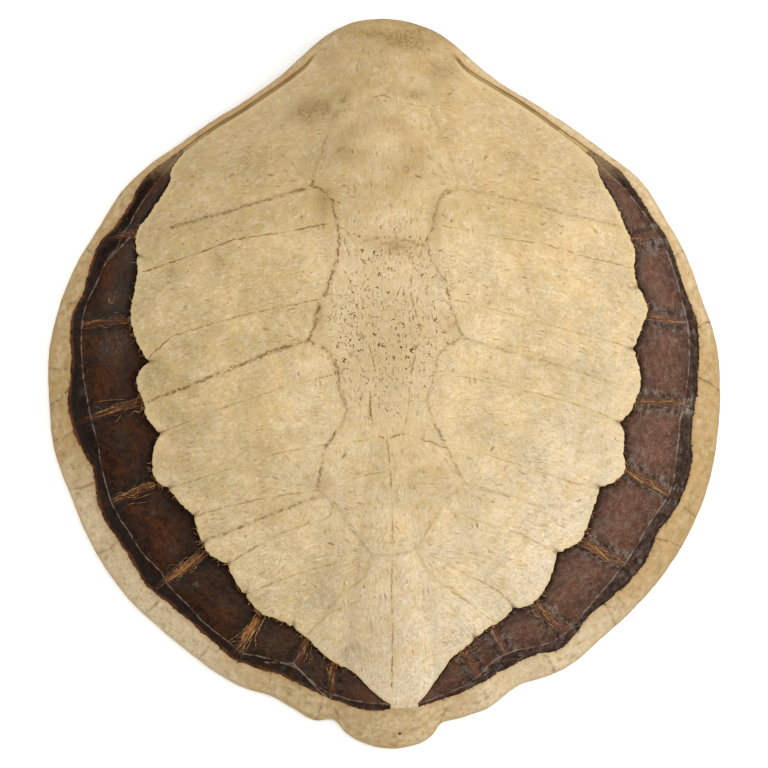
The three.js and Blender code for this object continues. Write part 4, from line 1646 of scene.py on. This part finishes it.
    def seams(self, on: BoneMaps, coats: Coats) -> tuple[Value, Value]:
        """Lays the sutures as dirty hairlines and the scute grooves as broken strokes.

        Args:
            on: the bone's maps.
            coats: the colour to lay them on.

        Returns:
            1 in the hairlines, and 1 in the strokes.
        """
        mottle, broken = on.mottle, on.broken
        coats.lay(on.seam.sink(0.5, 4.0) * 0.24, self.lip)
        hair = on.seam.sink(0.1, 0.85) * (0.14 + broken * 0.75 + on.outwards * 0.4)
        hair = (hair * on.seam_ink).clamp()
        dirt = on.seam.sink(0.4, 2.6) * broken * on.small.step(0.4, 0.58) * on.seam_ink * 0.6
        coats.lay(on.sulcus.sink(0.5, 5.5) * mottle.step(0.36, 0.6) * on.sulcus_ink * 0.26,
                  self.stain)
        strokes = on.streaks.step(0.4, 0.56) * mottle.step(0.36, 0.5)
        worn = on.sulcus.sink(0.25, 2.2) * strokes * on.sulcus_ink * (1.9 - broken * 0.8)
        coats.lay(worn.clamp(), self.groove)
        coats.lay(dirt, self.stain)
        coats.lay(hair, self.pore)
        return hair, worn

    def free_edges(self, on: BoneMaps, coats: Coats) -> None:
        """Darkens the margin at the neck, warms the disc's lip and marks the nicks in it."""
        neck_edge = on.to_margin.sink(0.0, 9.0) * on.y.step(285.0, 330.0)
        coats.lay(neck_edge * (0.25 + on.mottle.step(0.4, 0.6) * 0.4), self.stain)
        coats.lay(on.lip * 0.55, self.lip)
        coats.lay(on.lip * on.small.step(0.52, 0.66) * 0.35, self.rust)
        coats.lay(on.nick * 0.85, self.crack)

    def rim_bones(self, on: BoneMaps, hair: Value) -> Coats:
        """The rim: tan, pale behind, partly painted lighter where the lamps leave it dim and
        painted darker at the right, stained at both edges with a painted shadow beside the skin,
        with cracks and a small hole painted dark.

        Args:
            on: the bone's maps.
            hair: 1 in the sutures' hairlines.

        Returns:
            The rim's colour.
        """
        x, y, mottle, small = on.x, on.y, on.mottle, on.small
        # Paler at the left rear, the right front, the right rear and the front: partly the rim's
        # own pale tone, partly painted light where the lamps leave the rim dim.
        rear_left = x.step(-90.0, -210.0) * y.step(-40.0, -130.0)
        front_right = x.step(-20.0, 160.0) * y.step(-10.0, 170.0)
        rear_right = x.step(40.0, 130.0) * y.step(-170.0, -250.0)
        pale_and_lit = rear_left + front_right * 0.62 + rear_right + y.step(130.0, 230.0) * 0.3
        pale_and_lit = (pale_and_lit + (on.big - 0.5) * 0.6 + y.step(-200.0, -290.0) * 0.25).clamp()
        # Painted shade: the rim is darker towards the right, where the key light falls strongest.
        shaded_right = x.step(120.0, 260.0) * y.step(110.0, 10.0)
        coats = Coats(on.sheet, on.sheet.mix(pale_and_lit, self.rim, self.rear_rim))
        coats.shade(1.0 - shaded_right * 0.15)
        coats.lay(mottle.step(0.46, 0.64) * (0.46 - shaded_right * 0.2), self.pale)
        coats.shade(0.9 + on.spokes.step(0.3, 0.7) * 0.19)
        coats.shade(0.92 + small.step(0.3, 0.7) * 0.16)
        coats.lay(on.blotch.step(0.44, 0.6) * (0.62 - pale_and_lit * 0.42), self.tan)
        coats.lay(mottle.sink(0.36, 0.48) * small.step(0.36, 0.56) * 0.6, self.stain)
        coats.lay(on.to_margin.sink(0.0, 5.0) * mottle.step(0.4, 0.6) * 0.5, self.stain)
        # A rust-brown stain beside the skin, partly a painted contact shadow where skin and rim
        # meet.
        coats.lay(on.past_band.sink(0.0, 8.0) * mottle.step(0.36, 0.56) * 0.55, self.rust)
        coats.lay(self.dashes(on, on.ray, 4.0, 2.6, 0.14) * 0.7, self.crack)
        coats.lay(on.seam.sink(0.5, 3.5) * on.broken * 0.4, self.stain)
        coats.lay(hair * 0.9, self.crack)
        # The small hole is painted: a near-black spot stands for its shaded inside, with a dent in
        # the relief.
        coats.lay(on.hole.sink(1.1, 1.9), self.crack)
        return coats

    def material(self) -> bpy.types.Material:
        """Builds the finish.

        Returns:
            The material.
        """
        sheet = NodeSheet("dry_bone")
        on = BoneMaps(sheet)
        coats = self.plates(on)
        self.weather(on, coats)
        pores = self.pores(on, coats)
        hair, worn = self.seams(on, coats)
        self.free_edges(on, coats)
        coats.lay(on.rim, self.rim_bones(on, hair).colour)
        # Painted shade: the ledge between disc and rim, a recess of tan bone, is laid dark olive
        # and brown.
        coats.lay(on.ledge * 0.9,
                  sheet.mix(on.blotch.step(0.4, 0.62) * 0.6, self.olive_shade, self.groove))
        bare = Coats(sheet, sheet.mix(on.big.step(0.35, 0.65), self.below, self.khaki))
        bare.shade(0.72 + on.mottle * 0.5)
        coats.lay(on.under, bare.colour)
        relief = on.streaks * 0.4 + on.small * 0.4 + on.mottle * 0.6
        relief = relief - pores * 0.25 - hair * 0.2 - worn * 0.4 - on.nick * 0.6
        hollow = on.hole.sink(1.0, 2.2) * 2.0
        relief = relief + on.rim * (on.spokes * 0.3 + on.mottle * 0.8 - hollow)
        sheet.apply(coats.colour, 0.58 + on.small * 0.25, relief, self.relief)
        sheet.set_numbers({"Specular IOR Level": self.specular})
        return sheet.material


class SkinMaps:
    """The marks stored on the skins, and the noises that several coats of their finish read."""

    def __init__(self, sheet: NodeSheet) -> None:
        """Reads the marks and makes the noises, the broadest first."""
        self.sheet = sheet
        self.place = place = sheet.place()
        lay = sheet.marked("lay")
        x, self.y, _ = sheet.parts(place)
        _, _, self.across = sheet.parts(lay)
        away, self.off_fold, self.off_edge = sheet.parts(sheet.marked("marks"))
        self.branch, self.folded, self.pale = sheet.parts(sheet.marked("branch"))
        self.big = sheet.clouds(place, 30.0, 4.0)
        self.blotch = sheet.clouds(place, 9.0, 5.0, 0.66)
        self.patchy = sheet.clouds(place, 8.0, 4.0, 0.65)
        self.clotted = sheet.clouds(place, 5.5, 3.0, 0.6)
        self.small = sheet.clouds(place, 2.4, 4.0, 0.7)
        self.fine = sheet.clouds(place, 0.9, 3.0, 0.6)
        self.creases = sheet.clouds(sheet.scaled(lay, 1.7, 12.0, 1.0), 1.0, 4.0, 0.65)
        self.wrinkles = sheet.clouds(sheet.scaled(lay, 14.0, 2.0, 1.0), 1.0, 3.0, 0.6)
        self.near_rib = abs(away + (self.small - 0.5) * 4.0)
        # 1 towards the right front, where the key light falls; it drives the skins' painted light.
        self.lit = (x + self.y * -0.25).step(-100.0, 260.0)


@dataclass(frozen=True)
class SkinFinish:
    """Dried skin: smoky brown panels, reddish ribs, a pale fold and a rough dark edge."""

    smoke: Colour = (0.054, 0.026, 0.012)
    maroon: Colour = (0.09, 0.026, 0.006)
    lit_side_mauve: Colour = (0.088, 0.042, 0.029)
    soot_and_shadow: Colour = (0.009, 0.004, 0.002)
    rust: Colour = (0.2, 0.062, 0.018)
    gold: Colour = (0.5, 0.27, 0.085)
    dust_and_sheen: Colour = (0.32, 0.26, 0.21)
    worn: Colour = (0.25, 0.165, 0.085)
    specular: float = 0.03
    coat: float = 0.025
    coat_roughness: float = 0.3
    relief: float = 0.75

    def panels(self, on: SkinMaps) -> Coats:
        """The panels between the ribs: smoky brown, painted lighter and mauve on the lit side,
        with a painted sheen in each panel's middle.

        Args:
            on: the skins' maps.

        Returns:
            The skins' colour.
        """
        small, blotch, lit = on.small, on.blotch, on.lit
        coats = Coats(on.sheet, on.sheet.mix(on.big.step(0.38, 0.6) * 0.65, self.smoke,
                                             self.maroon))
        # Painted light: towards the lit side there are fewer dark blotches and less red, and the
        # panels turn mauve.
        coats.lay(blotch.step(0.42, 0.62) * (0.6 - lit * 0.35), self.soot_and_shadow)
        glow = on.big.step(0.5, 0.68) * on.wrinkles.step(0.42, 0.66)
        coats.lay(glow * (0.24 - lit * 0.16), self.rust)
        coats.lay(lit * (0.5 + blotch.step(0.4, 0.64) * 0.3), self.lit_side_mauve)
        grain = (0.66 + small.step(0.3, 0.7) * 0.5) * (0.84 + on.fine.step(0.34, 0.66) * 0.32)
        grain = grain * (0.76 + on.clotted.step(0.36, 0.64) * 0.4)
        # Painted sheen in the middle of each panel, and painted light over the whole skin towards
        # the lit side.
        sheen = on.near_rib.step(4.0, 20.0) * on.across.step(0.06, 0.4) * on.across.sink(0.5, 0.82)
        coats.shade(grain * (0.78 + sheen * 0.5) * (0.8 + lit * 0.62))
        return coats

    def ribs(self, on: SkinMaps, coats: Coats) -> None:
        """Lays the reddish ribs with golden flecks, and a shadow beside each."""
        rib = on.near_rib.sink(1.0, 4.6)
        coats.lay(rib * (0.12 + on.creases.step(0.44, 0.62) * 0.4), self.rust)
        flecks = rib * on.creases.step(0.55, 0.68) * on.small.step(0.44, 0.6)
        coats.lay(flecks * on.across.sink(0.1, 0.75) * 0.6, self.gold)
        # Painted shadow beside each rib, in the soot colour.
        shadow = on.near_rib.step(3.5, 6.0) * on.near_rib.sink(6.0, 11.0)
        coats.lay(shadow * 0.65, self.soot_and_shadow)

    def outer_edge(self, on: SkinMaps, coats: Coats) -> Value:
        """Darkens the strip outside the fold and its fringe, paints a shadow line along the outer
        edge on the lit side, and gives the strip's mask.
        """
        strip = on.off_fold.step(0.5, 2.0)
        coats.lay(strip * (0.35 + on.small * 0.55), self.soot_and_shadow)
        fringe = on.off_edge.sink(0.2, 3.2) * on.blotch.step(0.38, 0.56)
        coats.lay(fringe * (0.8 - on.lit * 0.7), self.rust)
        # Painted shadow: a dark line along the skin's outer edge on the lit side.
        coats.lay(on.off_edge.sink(-0.5, 2.2) * on.lit * 0.85, self.soot_and_shadow)
        return strip

    def fold(self, on: SkinMaps, coats: Coats) -> Value:
        """Lays the pale, rubbed fold and its side branches, and gives their mask."""
        rubbed = abs(on.off_fold + (on.blotch - 0.5) * 3.4).sink(0.05, 0.9) * on.folded
        rubbed = rubbed * (0.1 + on.patchy.step(0.4, 0.56) * 0.9) * (0.5 + on.small)
        rubbed = rubbed.most(on.branch.sink(0.2, 1.2) * on.patchy.step(0.36, 0.52))
        coats.lay(rubbed * 0.68, self.dust_and_sheen)
        return rubbed

    def dusting(self, on: SkinMaps, coats: Coats) -> Value:
        """Lays dust, a pale film and webs, each stronger on the lit side, where the film is partly
        a painted sheen.

        Args:
            on: the skins' maps.
            coats: the colour to lay them on.

        Returns:
            1 in the grains of dust.
        """
        sheet, place, lit = on.sheet, on.place, on.lit
        grains = sheet.specks(sheet.scaled(place, 2.4, 2.4, 2.4), 0.2, 0.08, 0.34)
        near_fold = abs(on.off_fold).sink(2.0, 14.0)
        coats.lay(grains * (on.blotch.step(0.42, 0.6) * (0.2 + lit * 0.5) + near_fold * 0.35),
                  self.dust_and_sheen)
        smeared = on.patchy.step(0.42, 0.64) * (0.6 + on.small.step(0.36, 0.62) * 0.8)
        scribbled = on.blotch.step(0.4, 0.56) * (0.35 + on.small.step(0.44, 0.58))
        beside = on.near_rib.step(3.0, 6.0) * on.near_rib.sink(6.0, 17.0)
        # The pale film is partly dust and partly a painted sheen, strongest on the lit side and
        # beside the ribs.
        film_and_sheen = smeared * (0.006 + lit * 0.11 + beside * (0.04 + lit * 0.26))
        webs = abs(sheet.clouds(place, 12.0, 3.0, 0.7) - 0.5).sink(0.003, 0.016)
        webs = webs * on.big.step(0.44, 0.56) * (0.03 + lit * 0.16)
        coats.lay(film_and_sheen + on.pale * scribbled + webs, self.dust_and_sheen)
        return grains

    def material(self) -> bpy.types.Material:
        """Builds the finish.

        Returns:
            The material.
        """
        sheet = NodeSheet("dried_skin")
        on = SkinMaps(sheet)
        coats = self.panels(on)
        self.ribs(on, coats)
        strip = self.outer_edge(on, coats)
        rubbed = self.fold(on, coats)
        grains = self.dusting(on, coats)
        # Painted shadow: the skin is darkened along its inner edge, under the disc's edge.
        coats.lay(on.across.sink(0.02, 0.12) * 0.75, self.soot_and_shadow)
        coats.lay((on.y + (on.blotch - 0.5) * 24.0).step(192.0, 214.0) * 0.85, self.worn)
        relief = on.creases * 0.8 + on.wrinkles * 0.5 + on.fine * 0.25
        relief = relief + on.small * 0.8 + on.blotch * 0.8 + rubbed * 0.5 + strip * on.small * 0.9
        gloss = 0.34 + on.small * 0.3 + strip * 0.15 + grains * 0.2
        sheet.apply(coats.colour, gloss, relief, self.relief)
        sheet.set_numbers({"Specular IOR Level": self.specular, "Coat Weight": self.coat,
                           "Coat Roughness": self.coat_roughness})
        return sheet.material


@dataclass(frozen=True)
class FibreFinish:
    """Dried fibres: gold and amber over the ribs, dark brown at the edge."""

    gold: Colour = (0.63, 0.285, 0.06)
    amber: Colour = (0.25, 0.08, 0.016)
    tow: Colour = (0.36, 0.21, 0.1)
    dark: Colour = (0.035, 0.014, 0.006)

    def material(self) -> bpy.types.Material:
        """Builds the finish.

        Returns:
            The material.
        """
        sheet = NodeSheet("dried_fibres")
        place, lay = sheet.place(), sheet.marked("lay")
        x, y, _ = sheet.parts(place)
        _, _, across = sheet.parts(lay)
        patch = sheet.clouds(place, 4.0, 3.0)
        bright = patch + y.sink(-160.0, 120.0) * 0.12
        coats = Coats(sheet, sheet.mix(bright.step(0.46, 0.66), self.amber, self.gold))
        coats.lay(x.step(-60.0, 160.0) * 0.4, self.tow)
        strands = sheet.clouds(sheet.scaled(lay, 0.7, 16.0, 1.0), 1.0, 2.0)
        coats.lay(strands.sink(0.44, 0.55) * 0.9, self.dark)
        brown = sheet.mix(x.sink(-60.0, 60.0) * 0.4, self.dark, self.amber)
        coats.lay(across.step(0.72, 0.9), brown)
        sheet.apply(coats.colour, 0.38 + patch * 0.2)
        return sheet.material


# --- Studio ---


@dataclass
class Studio:
    """Pale floor, soft lights and a camera straight above the shell."""

    camera_height: float = 2.5
    view_width: float = 0.73728
    sensor: float = 36.0
    aim_y: float = 0.0015
    floor_size: float = 12.0
    floor_drop: float = 0.0006
    floor_colour: Colour = (0.95, 0.95, 0.95)
    floor_glow: float = 0.2

    def lamp(self, name: str, place: Sequence[float], size: float, power: float,
             tint: Colour = (1.0, 1.0, 1.0)) -> None:
        """Adds a soft square light that faces the shell.

        Args:
            name: the light's name.
            place: where it stands, in metres.
            size: its side in metres.
            power: in watts.
            tint: its colour.
        """
        data = bpy.data.lights.new(name, "AREA")
        data.size, data.energy, data.color = size, power, tint
        light = bpy.data.objects.new(name, data)
        light.location = place
        light.rotation_euler = (-Vector(place)).to_track_quat("-Z", "Y").to_euler()
        bpy.context.scene.collection.objects.link(light)

    def build(self) -> None:
        """Sets up floor, lights, world and camera."""
        form = bmesh.new()
        bmesh.ops.create_grid(form, x_segments=4, y_segments=4, size=self.floor_size / 2)
        bmesh.ops.translate(form, verts=form.verts[:], vec=(0, 0, -self.floor_drop))
        floor = finish_mesh("floor", form)
        sheet = NodeSheet("pale_floor")
        grain = sheet.clouds(sheet.place(), 300.0)
        pale = sheet.mix(grain * 0.2, self.floor_colour, (0.9, 0.9, 0.9))
        sheet.apply(pale, 0.9)
        sheet.set_numbers({"Emission Color": (1.0, 1.0, 1.0, 1.0),
                           "Emission Strength": self.floor_glow})
        floor.data.materials.append(sheet.material)

        self.lamp("key", place=(1.65, 0.1, 1.65), size=1.4, power=26.0, tint=(1.0, 0.985, 0.955))
        self.lamp("top", place=(-0.2, 0.5, 3.2), size=2.6, power=53.0, tint=(1.0, 0.99, 0.97))
        world = bpy.data.worlds.new("soft_room")
        world.use_nodes = True
        background = world.node_tree.nodes["Background"]
        background.inputs["Color"].default_value = (1.0, 0.995, 0.985, 1.0)
        background.inputs["Strength"].default_value = 0.5
        scene = bpy.context.scene
        scene.world = world
        scene.view_settings.view_transform = "Standard"

        lens = bpy.data.cameras.new("camera")
        lens.sensor_width = self.sensor
        lens.lens = self.camera_height * self.sensor / self.view_width
        camera = bpy.data.objects.new("camera", lens)
        camera.location = (0.0, self.aim_y, self.camera_height)
        scene.collection.objects.link(camera)
        scene.camera = camera


def put(piece: bpy.types.Object, material: bpy.types.Material, slot: str, *nodes: str) -> None:
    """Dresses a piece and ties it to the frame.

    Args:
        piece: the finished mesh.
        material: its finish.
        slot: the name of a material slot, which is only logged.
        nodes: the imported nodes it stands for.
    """
    piece.data.materials.append(material)
    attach(piece, "root")
    if nodes:
        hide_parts(*nodes)
    triangles = sum(len(face.vertices) - 2 for face in piece.data.polygons)
    LOG.info("%s: %d triangles, slot %s", piece.name, triangles, slot)


def main() -> None:
    """Builds and dresses every part of the shell."""
    logging.basicConfig(level=logging.INFO, format="%(name)s %(message)s")
    plan = ShellPlan()
    put(BoneShell(plan).build(), BoneFinish().material(), "bone", "carapace_bone")
    skin_finish, fibre_finish = SkinFinish().material(), FibreFinish().material()
    for side in Side:
        skin = SkinStrip(plan, side)
        put(skin.build(), skin_finish, "skin", f"skin_{side.label}")
        put(FibreTufts(skin).build(), fibre_finish, "skin")
    Studio().build()


if __name__ == "__main__":
    main()
